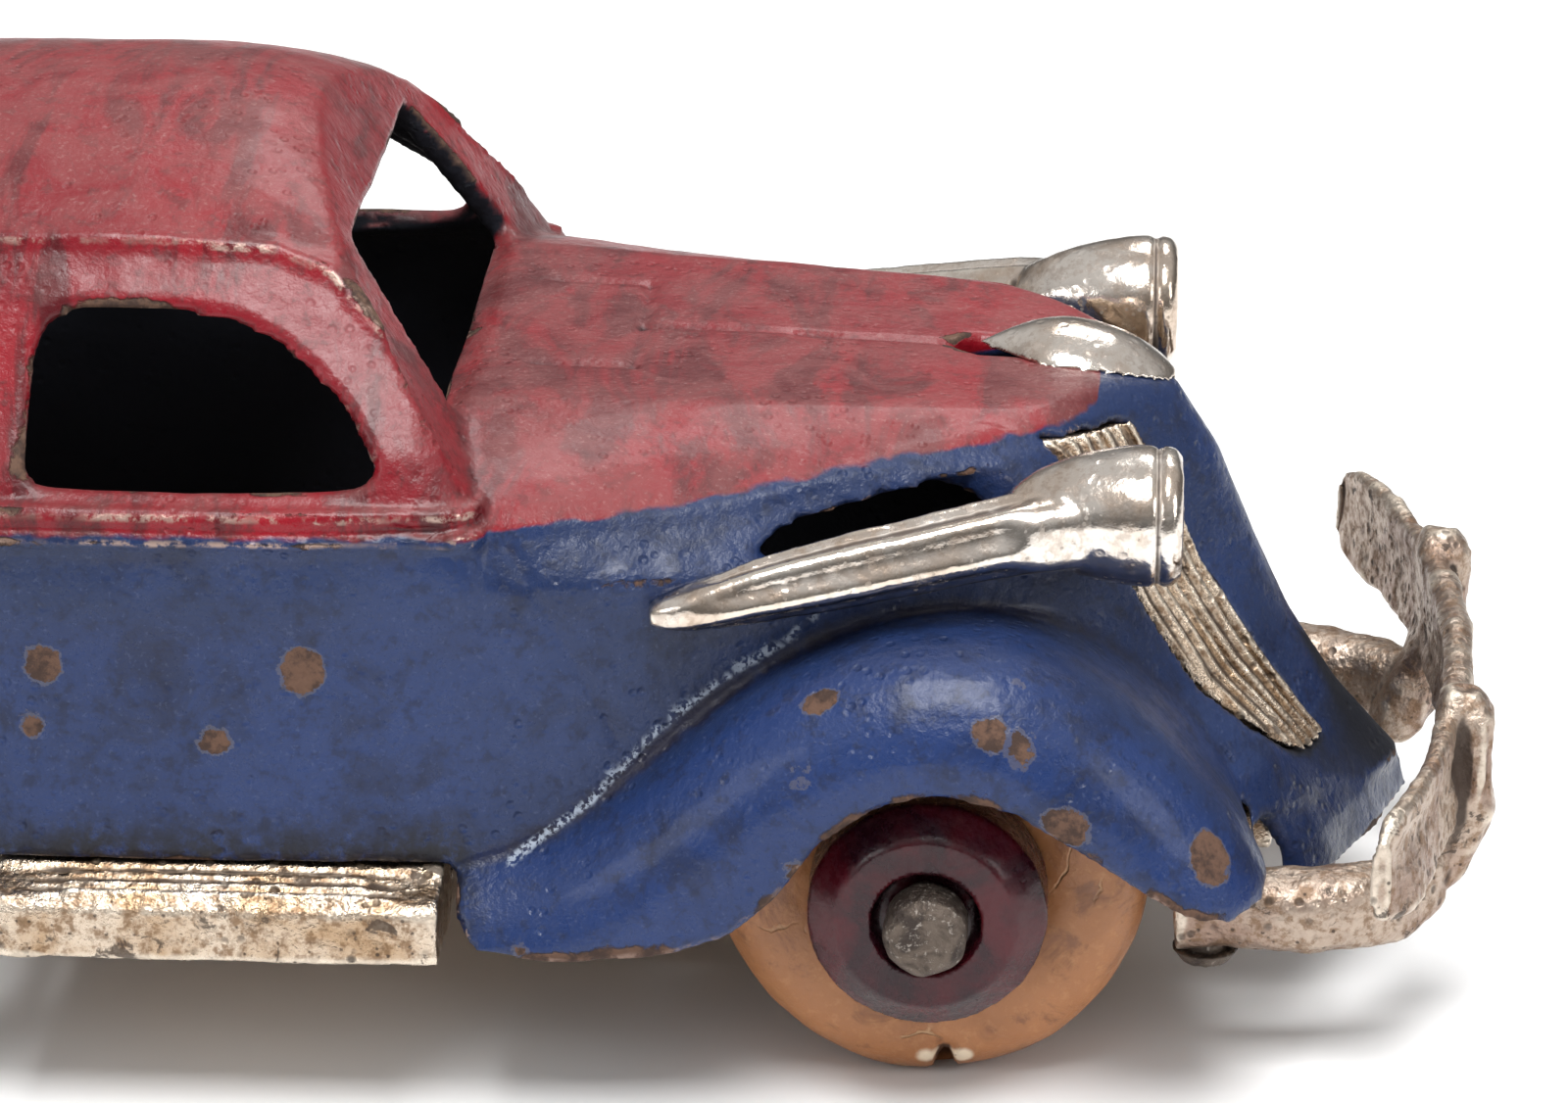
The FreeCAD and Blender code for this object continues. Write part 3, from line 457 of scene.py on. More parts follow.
def body_enamel():
    """Blue and red enamel, chipped to brown iron, worn bright by rubbing on ridges under a painted
    highlight, dusty on top and painted lighter there, with painted light on the fender sides and
    painted shade in hollows and inside.
    """
    material, w, shader, place = new_material("worn_body_enamel")
    split = w.add("ShaderNodeSeparateXYZ", {"Vector": place})
    x, y, z = (w.math("MULTIPLY", split.outputs[axis], 1.0 / MM) for axis in "XYZ")
    up = w.add("ShaderNodeSeparateXYZ",
               {"Vector": w.add("ShaderNodeNewGeometry").outputs["Normal"]}).outputs["Z"]
    wander = w.math("MULTIPLY_ADD", w.noise(place, 420.0, 3.0, 0.55), 0.9, -0.45)
    line = w.step(x, 20.0, 42.0, 33.0, 34.6)
    line = w.math("ADD", line, w.step(x, 46.5, 48.5, 0.0, 14.0))
    red_share = w.step(w.math("SUBTRACT", w.math("ADD", z, wander), line), -0.12, 0.12)

    broad = w.noise(place, 90.0, 3.0, 0.55)
    patch = w.noise(place, 260.0, 4.0, 0.6, 0.8)
    mottle = w.noise(place, 950.0, 5.0, 0.7)
    fine = w.noise(place, 3600.0, 3.0, 0.6)
    fender = w.math("MULTIPLY", w.step(z, 29.5, 26.5), w.step(w.math("ABSOLUTE", y), 24.6, 26.6))
    blue = w.blend(w.step(broad, 0.35, 0.68), tuple(paint().blue), (0.014, 0.030, 0.098))
    # painted light: the outer fender faces are made lighter blue for the light they catch
    blue = w.blend(w.math("MULTIPLY", fender, 0.5), blue, (0.011, 0.031, 0.125))
    blue = w.blend(w.math("MULTIPLY", w.step(patch, 0.50, 0.70), 0.55), blue,
                   (0.006, 0.010, 0.030))
    blue = w.blend(w.math("MULTIPLY", w.step(mottle, 0.50, 0.66), 0.50), blue,
                   (0.005, 0.007, 0.020))
    blue = w.blend(w.math("MULTIPLY", w.step(fine, 0.60, 0.70), 0.22), blue,
                   (0.090, 0.115, 0.210))
    red = w.blend(w.step(broad, 0.35, 0.68), tuple(paint().red), (0.230, 0.005, 0.012))
    streak_place = w.add("ShaderNodeMapping", {"Vector": place, "Scale": (1.0, 0.35, 0.35)})
    streak = w.noise(streak_place.outputs[0], 260.0, 5.0, 0.65, 0.8)
    red = w.blend(w.math("MULTIPLY", w.step(streak, 0.46, 0.60), 0.80), red,
                  (0.045, 0.004, 0.006))
    red = w.blend(w.math("MULTIPLY", w.step(mottle, 0.52, 0.66), 0.55), red,
                  (0.040, 0.008, 0.008))
    # dusty, and painted light: faces turned upwards are lightened for the light they catch from
    # above
    dust_and_top_light = w.math("MULTIPLY", w.step(up, 0.35, 0.98), w.step(patch, 0.34, 0.62, 0.18, 0.55))
    red = w.blend(dust_and_top_light, red, (0.200, 0.060, 0.058))
    red = w.blend(w.math("MULTIPLY", w.step(fine, 0.58, 0.68), w.math("MULTIPLY", dust_and_top_light, 0.6)), red,
                  (0.330, 0.180, 0.165))
    coat = w.blend(red_share, blue, red)

    # darker towards the bottom of the sides, between the wheels
    low_dark_line = w.math("ADD", z, w.math("MULTIPLY", streak, 4.0))
    low_dark_band = w.math("MULTIPLY", w.step(low_dark_line, 20.0, 16.6), w.step(mottle, 0.32, 0.54))
    low_dark_band = w.math("MULTIPLY", low_dark_band, w.step(w.math("ABSOLUTE", x), 15.0, 12.5))
    coat = w.blend(w.math("MULTIPLY", low_dark_band, 0.90), coat, (0.006, 0.006, 0.008))
    # painted shade: hollows and creases are darkened
    hollow = w.attribute("hollow")
    coat = w.blend(w.math("MULTIPLY", w.step(hollow, 0.10, 0.70), 0.75), coat,
                   (0.012, 0.008, 0.010))

    proud = w.attribute("proud")
    ridge = w.attribute("ridge")
    inside = w.attribute("inside")
    chips = group_node(w, shared("chips"), {
        "Place": place, "Edge": proud, "Edge wear": 0.80,
        "Spots": w.math("MULTIPLY_ADD", fender, 2.55, -1.25)})
    gone = w.math("MAXIMUM", chips.outputs["Edge mask"], chips.outputs["Spot mask"])
    iron = w.blend(w.step(mottle, 0.4, 0.6), tuple(paint().iron), (0.110, 0.060, 0.040))
    coat = w.blend(w.math("MULTIPLY", chips.outputs["Rim"], 0.5), coat, (0.095, 0.090, 0.110))
    coat = w.blend(gone, coat, iron)
    # worn bright on the beads, drip line and proud edges, partly a painted highlight: the cream
    # colour stands for light caught along them
    rubbed_and_highlight = w.math("MULTIPLY", w.step(ridge, 0.45, 0.85), w.step(mottle, 0.44, 0.56))
    rubbed_and_highlight = w.math("MAXIMUM", rubbed_and_highlight, w.math("MULTIPLY", w.step(proud, 0.80, 1.0),
                                              w.step(mottle, 0.50, 0.60)))
    drift = w.noise(place, 200.0, 3.0, 0.6)
    rubbed_and_highlight = w.math("MULTIPLY", rubbed_and_highlight, w.step(drift, 0.38, 0.60, 0.15, 0.9))
    coat = w.blend(rubbed_and_highlight, coat, (0.420, 0.300, 0.250))
    # crackle along the fender seam, partly a painted highlight: the pale blue line stands for
    # light caught along it
    seam_scratch_and_highlight = w.math("MULTIPLY", w.step(w.attribute("seam_scratch_and_highlight"), 0.35, 0.90),
                     w.step(fine, 0.44, 0.54))
    coat = w.blend(w.math("MULTIPLY", seam_scratch_and_highlight, 0.75), coat, (0.330, 0.380, 0.460))
    # painted shade: the inside of the casting and the hood web are coloured near black
    coat = w.blend(inside, coat, (0.004, 0.005, 0.010))

    skin = group_node(w, shared("cast"), {"Place": place, "Grain": 0.60, "Pits": 0.55})
    height = w.math("SUBTRACT", skin.outputs["Height"], w.math("MULTIPLY", gone, 0.9))
    rough = w.lerp(w.step(mottle, 0.35, 0.70), 0.26, 0.46)
    rough = w.math("ADD", rough, w.math("MULTIPLY", dust_and_top_light, 0.22))
    rough = w.lerp(w.math("MAXIMUM", gone, inside), rough, 0.80)
    w.feed(shader.inputs["Base Color"], coat)
    w.feed(shader.inputs["Roughness"], rough)
    w.feed(shader.inputs["Metallic"], w.math("MULTIPLY", rubbed_and_highlight, 0.7))
    w.feed(shader.inputs["Normal"], bump(w, height, 0.17))
    w.feed(shader.inputs["Coat Weight"], w.lerp(w.math("MAXIMUM", gone, inside), 0.15, 0.0))
    shader.inputs["Specular IOR Level"].default_value = 0.28
    shader.inputs["Coat Roughness"].default_value = 0.12
    return material


def aged_nickel(name, clean, stained, tarnish, pits, rough_low, rough_high):
    """Nickel plate over a casting: yellow-brown tarnish, dark pits, grit and blots, painted shade
    in hollows, and proud edges worn clean under a painted highlight.
    """
    material, w, shader, place = new_material(name)
    broad = w.noise(place, 230.0, 4.0, 0.6, 0.4)
    mottle = w.noise(place, 1300.0, 5.0, 0.7)
    shine = w.blend(w.step(broad, 0.40, 0.64), tuple(clean), tuple(stained))
    stain = w.math("MULTIPLY", w.step(mottle, 0.46, 0.62), tarnish)
    shine = w.blend(stain, shine, (0.200, 0.115, 0.060))
    proud = w.attribute("proud")
    # proud edges worn clean of tarnish, partly a painted highlight: they are lightened for the
    # light they catch
    shine = w.blend(w.math("MULTIPLY", w.step(proud, 0.35, 0.95), 0.55), shine,
                    (0.860, 0.780, 0.660))
    skin = group_node(w, shared("cast"), {"Place": place, "Grain": 0.4 + pits, "Pits": 0.4 + pits})
    blot = w.step(w.noise(place, 520.0, 5.0, 0.7, 0.6), 0.59, 0.65)
    # grit, blots and pits, plus painted shade: every hollow is darkened
    dirt_and_hollow_shade = w.math("MAXIMUM", w.step(w.attribute("hollow"), 0.12, 0.65),
                  w.math("MULTIPLY", blot, pits))
    dirt_and_hollow_shade = w.math("MAXIMUM", dirt_and_hollow_shade, w.math("MULTIPLY", skin.outputs["Pit mask"], pits))
    grit = w.math("MULTIPLY", w.step(w.cells(place, 1500.0), 0.22, 0.10),
                  w.step(mottle, 0.44, 0.56))
    dirt_and_hollow_shade = w.math("MAXIMUM", dirt_and_hollow_shade, w.math("MULTIPLY", grit, 0.25 + 0.75 * pits))
    dirt_and_hollow_shade = w.math("MULTIPLY", dirt_and_hollow_shade, 0.92)
    coat = w.blend(dirt_and_hollow_shade, shine, (0.030, 0.017, 0.011))
    rough = w.lerp(w.step(mottle, 0.35, 0.68), rough_low, rough_high)
    w.feed(shader.inputs["Base Color"], coat)
    w.feed(shader.inputs["Metallic"], w.math("SUBTRACT", 1.0, w.math("MULTIPLY", dirt_and_hollow_shade, 0.9)))
    w.feed(shader.inputs["Roughness"], w.lerp(dirt_and_hollow_shade, rough, 0.78))
    w.feed(shader.inputs["Normal"], bump(w, skin.outputs["Height"], 0.03 + 0.13 * pits))
    return material


CRACK_SWAY = 0.0030


def aged_rubber():
    """Tan perished rubber: dark scuffs, faint pale cracks, and a fresh torn spot."""
    material, w, shader, place = new_material("aged_tan_rubber")
    broad = w.noise(place, 150.0, 4.0, 0.6, 0.6)
    fine = w.noise(place, 1700.0, 4.0, 0.65)
    tan = w.blend(w.step(broad, 0.36, 0.62), tuple(paint().rubber), (0.330, 0.130, 0.045))
    tan = w.blend(w.math("MULTIPLY", w.step(fine, 0.50, 0.72), 0.30), tan,
                  (0.560, 0.300, 0.140))
    jitter = w.add("ShaderNodeTexNoise", {"Vector": place, "Scale": 300.0, "Detail": 4.0})
    shift = w.add("ShaderNodeVectorMath",
                  {0: jitter.outputs["Color"], 1: (CRACK_SWAY, CRACK_SWAY, CRACK_SWAY)},
                  operation="MULTIPLY")
    moved = w.add("ShaderNodeVectorMath", {0: place, 1: shift.outputs[0]}, operation="ADD")
    net = w.cells(moved.outputs[0], 260.0, "DISTANCE_TO_EDGE")
    crack = w.math("MULTIPLY", w.step(net, 0.030, 0.006), w.step(broad, 0.50, 0.62))
    tan = w.blend(w.math("MULTIPLY", crack, 0.40), tan, (0.720, 0.520, 0.300))
    scuff = w.math("MULTIPLY", w.step(w.noise(place, 330.0, 5.0, 0.7, 0.8), 0.50, 0.66), 0.65)
    tan = w.blend(scuff, tan, (0.150, 0.055, 0.022))
    # painted shade: hollows of the tyre are darkened
    tan = w.blend(w.math("MULTIPLY", w.step(w.attribute("hollow"), 0.10, 0.60), 0.8), tan,
                  (0.070, 0.028, 0.014))
    tan = w.blend(w.step(w.attribute("fresh"), 0.30, 0.60), tan, (0.840, 0.700, 0.520))
    height = w.math("SUBTRACT", w.math("MULTIPLY", fine, 0.7), w.math("MULTIPLY", crack, 1.0))
    w.feed(shader.inputs["Base Color"], tan)
    w.feed(shader.inputs["Roughness"], w.lerp(w.step(fine, 0.3, 0.7), 0.36, 0.60))
    w.feed(shader.inputs["Normal"], bump(w, height, 0.12))
    shader.inputs["Coat Weight"].default_value = 0.12
    shader.inputs["Coat Roughness"].default_value = 0.25
    return material


def hub_enamel():
    """Thick dark maroon enamel on the turned hubs, scuffed at the rims."""
    material, w, shader, place = new_material("maroon_hub_enamel")
    broad = w.noise(place, 300.0, 4.0, 0.6, 0.5)
    fine = w.noise(place, 2100.0, 4.0, 0.65)
    coat = w.blend(w.step(broad, 0.36, 0.66), tuple(paint().maroon), (0.060, 0.004, 0.008))
    coat = w.blend(w.math("MULTIPLY", w.step(fine, 0.60, 0.72), 0.22), coat,
                   (0.150, 0.050, 0.050))
    chips = group_node(w, shared("chips"), {
        "Place": place, "Edge": w.attribute("proud"), "Edge wear": 0.50, "Spots": -0.60})
    gone = w.math("MULTIPLY", chips.outputs["Edge mask"], 0.6)
    coat = w.blend(gone, coat, (0.150, 0.065, 0.055))
    # painted shade: hollows of the hub are darkened near black
    coat = w.blend(w.math("MULTIPLY", w.step(w.attribute("hollow"), 0.12, 0.70), 0.85), coat,
                   (0.006, 0.004, 0.005))
    w.feed(shader.inputs["Base Color"], coat)
    w.feed(shader.inputs["Roughness"], w.lerp(w.step(fine, 0.35, 0.70), 0.18, 0.40))
    height = w.math("ADD", broad, w.math("MULTIPLY", fine, 0.5))
    w.feed(shader.inputs["Normal"], bump(w, height, 0.09))
    shader.inputs["Coat Weight"].default_value = 0.18
    shader.inputs["Specular IOR Level"].default_value = 0.30
    shader.inputs["Coat Roughness"].default_value = 0.12
    return material


def dull_steel():
    """Oxidised steel of axles, screws and rivets."""
    material, w, shader, place = new_material("dull_oxidised_steel")
    broad = w.noise(place, 480.0, 5.0, 0.65, 0.8)
    fine = w.noise(place, 2600.0, 5.0, 0.7)
    coat = w.blend(w.step(broad, 0.38, 0.62), (0.035, 0.024, 0.019), (0.150, 0.120, 0.098))
    coat = w.blend(w.math("MULTIPLY", w.step(fine, 0.56, 0.68), 0.6), coat,
                   (0.520, 0.470, 0.420))
    # painted shade: hollows are darkened
    coat = w.blend(w.step(w.attribute("hollow"), 0.10, 0.60), coat, (0.025, 0.017, 0.013))
    w.feed(shader.inputs["Base Color"], coat)
    w.feed(shader.inputs["Metallic"], w.step(broad, 0.35, 0.60, 0.45, 0.95))
    w.feed(shader.inputs["Roughness"], w.lerp(w.step(fine, 0.35, 0.70), 0.30, 0.60))
    w.feed(shader.inputs["Normal"], bump(w, w.math("ADD", broad, fine), 0.16))
    return material


MATERIALS = {}


def material_for(name):
    """The finish of that name, built once."""
    makers = {
        "enamel": body_enamel,
        "trim": lambda: aged_nickel("tarnished_nickel_trim", paint().nickel, (0.62, 0.51, 0.42),
                                    0.35, 0.15, 0.10, 0.26),
        "board": lambda: aged_nickel("pitted_nickel_chassis", (0.62, 0.51, 0.40),
                                     (0.42, 0.29, 0.18), 0.80, 0.85, 0.20, 0.42),
        "bumper": lambda: aged_nickel("corroded_nickel_bumper", (0.46, 0.37, 0.30),
                                      (0.30, 0.21, 0.165), 0.65, 0.85, 0.34, 0.58),
        "rubber": aged_rubber,
        "hub": hub_enamel,
        "steel": dull_steel,
    }
    if name not in MATERIALS:
        MATERIALS[name] = makers[name]()
    return MATERIALS[name]


# ---- pieces --------------------------------------------------------------------------------
# lines in X and Z on the sides, and in X and Y on the hood, in mm
DRIP_LINE = ((-40.0, 39.6), (-33.0, 42.9), (-26.0, 44.9), (-18.0, 46.0), (-11.3, 46.3),
             (-3.5, 46.4), (2.7, 46.0), (5.8, 44.9), (9.3, 41.5), (12.3, 37.1))
WINDOW_RIM = ((-10.6, 35.2), (-10.3, 41.6), (-9.4, 43.3), (-7.3, 44.0), (-3.0, 43.9),
              (0.9, 43.5), (3.4, 42.4), (5.5, 41.0), (7.7, 39.0), (9.3, 36.4))
REAR_RIM = ((-12.4, 35.2), (-12.7, 41.6), (-13.8, 43.3), (-16.0, 44.0), (-22.0, 43.7),
            (-27.4, 42.4), (-31.0, 40.2), (-32.6, 37.6))
FENDER_SEAM = ((34.5, 29.2), (32.9, 28.1), (29.9, 25.8), (26.7, 24.1), (23.1, 21.2),
               (19.9, 17.7), (15.7, 14.7))
DOOR_LINES = (((15.8, 32.0), (18.0, 28.3), (20.0, 23.9), (21.4, 21.0)),
              ((-11.5, 32.0), (-11.5, 15.0)),
              ((-34.0, 32.0), (-33.0, 27.0), (-28.5, 20.5)))
HOOD_SHOULDER = ((13.0, 33.0), (24.0, 32.7), (28.5, 33.0), (36.0, 34.1), (44.0, 35.2))
HOOD_SEAM = ((21.2, 0.0), (38.3, 0.0))
COWL_LINES = (((15.5, -7.0), (21.0, -7.0)), ((15.5, 7.0), (21.0, 7.0)),
              ((21.0, -7.0), (21.0, 7.0)))
UPPER_BEAD_Z = 33.95
LOWER_BEAD_Z = 32.65
BELT_GROOVE_Z = 33.3
BODY_MIDDLE_Z = 22.0
WEB_LOW = (27.0, -0.5, 15.4)
WEB_HIGH = (45.5, 0.5, 33.2)


def belt(height):
    """A level line along the belt, from the tail to the windscreen post."""
    return (-58.0, height), (14.0, height)


def add_inner_web(body):
    """Thin centre web inside the hood, so no light passes under it; it is coloured near black, a
    sheet standing in for shade.
    """
    mesh = bmesh.new()
    mesh.from_mesh(body.data)
    made = bmesh.ops.create_cube(mesh, size=1.0)
    low = Vector(WEB_LOW) * MM
    high = Vector(WEB_HIGH) * MM
    for vertex in made["verts"]:
        share = vertex.co + Vector((0.5, 0.5, 0.5))
        vertex.co = Vector(low[i] + (high[i] - low[i]) * share[i] for i in range(3))
    mesh.to_mesh(body.data)
    mesh.free()


def mark_body(body):
    """Ridges that are worn bright by rubbing under a painted highlight, the scratched fender seam
    with its painted highlight, and the inside, coloured near black as painted shade.
    """
    points, normals = read_points(body)
    x, y, z = points.T
    out = normals[:, 1] * np.sign(y)
    side = soft_step(0.1, 0.4, out) * (np.abs(y) > 12.0)
    ridge = np.zeros(len(points))
    for line, width in ((belt(UPPER_BEAD_Z), 0.30), (belt(LOWER_BEAD_Z), 0.26),
                        (DRIP_LINE, 0.30)):
        ridge = np.maximum(ridge, np.exp(-(line_distance(x, z, line) / width) ** 2))
    store(body, "ridge", ridge * side)
    # the fender seam is marked for crackle and a painted highlight
    seam = np.exp(-(line_distance(np.abs(x), z, FENDER_SEAM) / 0.30) ** 2)
    store(body, "seam_scratch_and_highlight", seam * side * (x > 0.0))
    # inward faces and the hood web are marked to be coloured near black: painted shade
    rise = z - BODY_MIDDLE_Z
    reach = np.hypot(y, rise)
    inward = -(normals[:, 1] * y + normals[:, 2] * rise) / np.maximum(reach, 1.0)
    inside = soft_step(0.15, 0.45, inward) * (reach > 3.0) * (np.abs(y) < 25.0)
    web = (np.abs(y) < 2.0) * (x > 26.0) * (x < 46.5) * (z < 33.6)
    store(body, "inside", np.maximum(inside, web))


class TOY_OT_body_casting(bpy.types.Operator):
    """Make the enamelled body casting with its mouldings and engraved lines"""
    bl_idname = "toy.body_casting"
    bl_label = "Body casting"

    def execute(self, context):
        body = copy_node("body_shell", "body_casting")
        add_inner_web(body)
        smooth_casting(body, casting().body_voxel, 4)
        points, normals = read_points(body)
        for height in (UPPER_BEAD_Z, LOWER_BEAD_Z):
            raise_side_line(points, normals, belt(height), 0.46, 0.34)
        raise_side_line(points, normals, belt(BELT_GROOVE_Z), -0.16, 0.25)
        raise_side_line(points, normals, DRIP_LINE, 0.42, 0.42)
        raise_side_line(points, normals, WINDOW_RIM, 0.14, 0.50, 15.0)
        raise_side_line(points, normals, REAR_RIM, 0.14, 0.50, 15.0)
        for line in DOOR_LINES:
            raise_side_line(points, normals, line, -0.22, 0.30, 15.0)
        raise_side_line(points, normals, HOOD_SHOULDER, 0.20, 0.40)
        raise_top_line(points, normals, HOOD_SEAM, -0.26, 0.30)
        for line in COWL_LINES:
            raise_top_line(points, normals, line, -0.24, 0.30)
        write_points(body, points)
        wave = casting().waviness
        roughen(body, ((9.0, wave, 3), (3.2, wave * 0.45, 4), (1.3, wave * 0.22, 5)))
        thin_out(body, 190000)
        mark_relief(body, 12, 0.24)
        mark_body(body)
        finish_piece(body, material_for("enamel"), "car_body", "body_paint", "body_shell")
        return {"FINISHED"}


RIB_START_Y = 28.15
RIB_PITCH = 0.8


class TOY_OT_chassis_casting(bpy.types.Operator):
    """Make the plated chassis with its ribbed running boards"""
    bl_idname = "toy.chassis_casting"
    bl_label = "Chassis"

    def execute(self, context):
        chassis = copy_node("chassis_frame", "chassis_casting")
        smooth_casting(chassis, 0.24, 2)
        points, normals = read_points(chassis)
        side = np.abs(points[:, 1])
        step = soft_step(0.5, 0.8, normals[:, 2]) * (side > 25.9) * (side < 28.6)
        step *= soft_step(10.5, 9.0, np.abs(points[:, 0]))
        ribs = np.cos(2.0 * math.pi * (side - RIB_START_Y) / RIB_PITCH)
        points += normals * (0.10 * ribs * step)[:, None]
        write_points(chassis, points)
        roughen(chassis, ((2.6, 0.05, 11), (0.9, 0.05, 12), (0.45, 0.03, 13)))
        thin_out(chassis, 160000)
        mark_relief(chassis, 8, 0.10)
        finish_piece(chassis, material_for("board"), "car_body", "nickel_plate", "chassis_frame")
        return {"FINISHED"}


BLADE_MIDDLE_Z = 16.0
BLADE_HALF = 3.0
BLADE_HOLLOW = 0.55


class TOY_OT_bumpers(bpy.types.Operator):
    """Make the two rough bumper castings"""
    bl_idname = "toy.bumpers"
    bl_label = "Bumpers"

    def execute(self, context):
        for node, name, seed in (("front_bumper", "bumper_front", 21),
                                 ("rear_bumper", "bumper_rear", 31)):
            bumper = copy_node(node, name)
            smooth_casting(bumper, casting().trim_voxel, 6)
            points, normals = read_points(bumper)
            height = points[:, 2]
            blade = soft_step(12.8, 13.6, height) * soft_step(0.2, 0.6, np.abs(normals[:, 0]))
            share = np.clip((height - BLADE_MIDDLE_Z) / BLADE_HALF, -1.0, 1.0)
            points -= normals * (BLADE_HOLLOW * (1.0 - share * share) * blade)[:, None]
            write_points(bumper, points)
            roughen(bumper, ((3.4, 0.24, seed), (1.2, 0.12, seed + 1), (0.5, 0.05, seed + 2)))
            thin_out(bumper, 90000)
            mark_relief(bumper, 14, 0.12)
            finish_piece(bumper, material_for("bumper"), "car_body", "nickel_plate", node)
        return {"FINISHED"}


LAMP_TAIL = ((-14.9, 24.0, 28.4), (-11.0, 23.5, 29.1), (-6.5, 22.6, 30.0), (-1.0, 21.3, 30.9),
             (3.5, 20.1, 31.6), (8.0, 18.9, 32.0))
AXLE_X = 38.0
GROOVE_X = 49.95


def flute_lamp(lamp):
    """Long flutes down the tail of a lamp, and a groove behind its lens rim."""
    points, normals = read_points(lamp)
    x = points[:, 0]
    stations = [AXLE_X + row[0] for row in LAMP_TAIL]
    middle_y = np.interp(x, stations, [row[1] for row in LAMP_TAIL])
    middle_z = np.interp(x, stations, [row[2] for row in LAMP_TAIL])
    angle = np.arctan2(points[:, 2] - middle_z, np.abs(points[:, 1]) - middle_y)
    fade = soft_step(AXLE_X - 13.5, AXLE_X - 9.0, x) * soft_step(AXLE_X + 6.0, AXLE_X + 3.5, x)
    points += normals * (0.20 * np.cos(6.0 * angle + 0.9) * fade)[:, None]
    groove = np.exp(-((x - GROOVE_X) / 0.22) ** 2) * (np.abs(normals[:, 0]) < 0.7)
    points -= normals * (0.22 * groove)[:, None]
    write_points(lamp, points)


GRILLE_PITCH = 1.05


def rib_grille(grille):
    """Lengthwise ribs on the two strips of the grille, deeper and less even than a machine's."""
    points, normals = read_points(grille)
    side = np.abs(points[:, 1])
    front = soft_step(0.15, 0.40, normals[:, 0]) * soft_step(5.7, 6.1, side)
    front *= soft_step(11.9, 11.5, side)
    sway = 0.22 * np.sin(points[:, 2] * 0.55) + 0.15 * lattice_noise(points, 2.5, 45)
    wave = np.cos(2.0 * math.pi * (side - 5.9 + sway) / GRILLE_PITCH)
    points += normals * (0.20 * wave * front)[:, None]
    write_points(grille, points)


class TOY_OT_plated_trim(bpy.types.Operator):
    """Make the grille, crest and headlamps"""
    bl_idname = "toy.plated_trim"
    bl_label = "Grille, crest and lamps"

    def execute(self, context):
        for node, name, voxel, material in (
                ("grille_insert", "grille_casting", 0.16, "board"),
                ("hood_crest", "crest_casting", 0.16, "trim"),
                ("headlamp_right", "lamp_right", 0.20, "trim"),
                ("headlamp_left", "lamp_left", 0.20, "trim")):
            trim = copy_node(node, name)
            smooth_casting(trim, voxel, 3)
            if "lamp" in node:
                flute_lamp(trim)
            if "grille" in node:
                rib_grille(trim)
            roughen(trim, ((1.8, 0.04, 41), (0.7, 0.02, 42)))
            thin_out(trim, 110000)
            mark_relief(trim, 8, 0.08)
            finish_piece(trim, material_for(material), "car_body", "nickel_plate", node)
        return {"FINISHED"}


def tear_tyre(tyre, x):
    """Nick the bottom of a tyre wall and give back the middle of the nick."""
    points, _ = read_points(tyre)
    hand = -1.0 if points[:, 1].mean() < 0.0 else 1.0
    middle = np.array((x + 0.9, hand * 21.6, 1.6))
    across = np.abs(points[:, 0] - middle[0])
    low = soft_step(3.4, 1.6, points[:, 2]) * (np.abs(points[:, 1]) > 19.0)
    nick = soft_step(0.75, 0.15, across) * low
    points[:, 2] += 0.9 * nick * soft_step(3.0, 0.5, points[:, 2])
    points[:, 1] -= hand * 0.5 * nick
    write_points(tyre, points)
    return middle


def mark_tear(tyre, middle):
    """Pale fresh rubber at both lips of the nick."""
    points, _ = read_points(tyre)
    fresh = np.zeros(len(points))
    for dx in (-1.0, 1.0):
        away = np.linalg.norm(points - middle - np.array((dx, 0.3, 0.3)), axis=1)
        fresh = np.maximum(fresh, np.exp(-(away / 0.75) ** 2))
    store(tyre, "fresh", fresh)


class TOY_OT_wheels(bpy.types.Operator):
    """Make the enamelled hubs, rubber tyres and riveted axles"""
    bl_idname = "toy.wheels"
    bl_label = "Wheels"

    def execute(self, context):
        for end in ("front", "rear"):
            rod = copy_node(end + "_axle", end + "_axle_rod_riveted")
            smooth_casting(rod, 0.16, 2)
            roughen(rod, ((0.9, 0.07, 51), (0.4, 0.04, 52)))
            thin_out(rod, 60000)
            mark_relief(rod, 8, 0.08)
            finish_piece(rod, material_for("steel"), end + "_axle_rod", "steel", end + "_axle")
            for hand in ("left", "right"):
                where = end + "_" + hand
                hub = copy_node("hub_" + where, "hub_painted_" + where)
                smooth_casting(hub, 0.20, 2)
                roughen(hub, ((2.4, 0.06, 61), (0.8, 0.03, 62)))
                thin_out(hub, 60000)
                mark_relief(hub, 10, 0.10)
                finish_piece(hub, material_for("hub"), "wheel_" + where, "hub_paint",
                             "hub_" + where)
                tyre = copy_node("tyre_" + where, "tyre_rubber_" + where)
                smooth_casting(tyre, 0.30, 3)
                tear = tear_tyre(tyre, AXLE_X if end == "front" else -AXLE_X)
                roughen(tyre, ((4.0, 0.14, 71), (1.4, 0.06, 72)))
                thin_out(tyre, 70000)
                mark_relief(tyre, 10, 0.12)
                mark_tear(tyre, tear)
                finish_piece(tyre, material_for("rubber"), "wheel_" + where, "tyre_rubber",
                             "tyre_" + where)
        return {"FINISHED"}


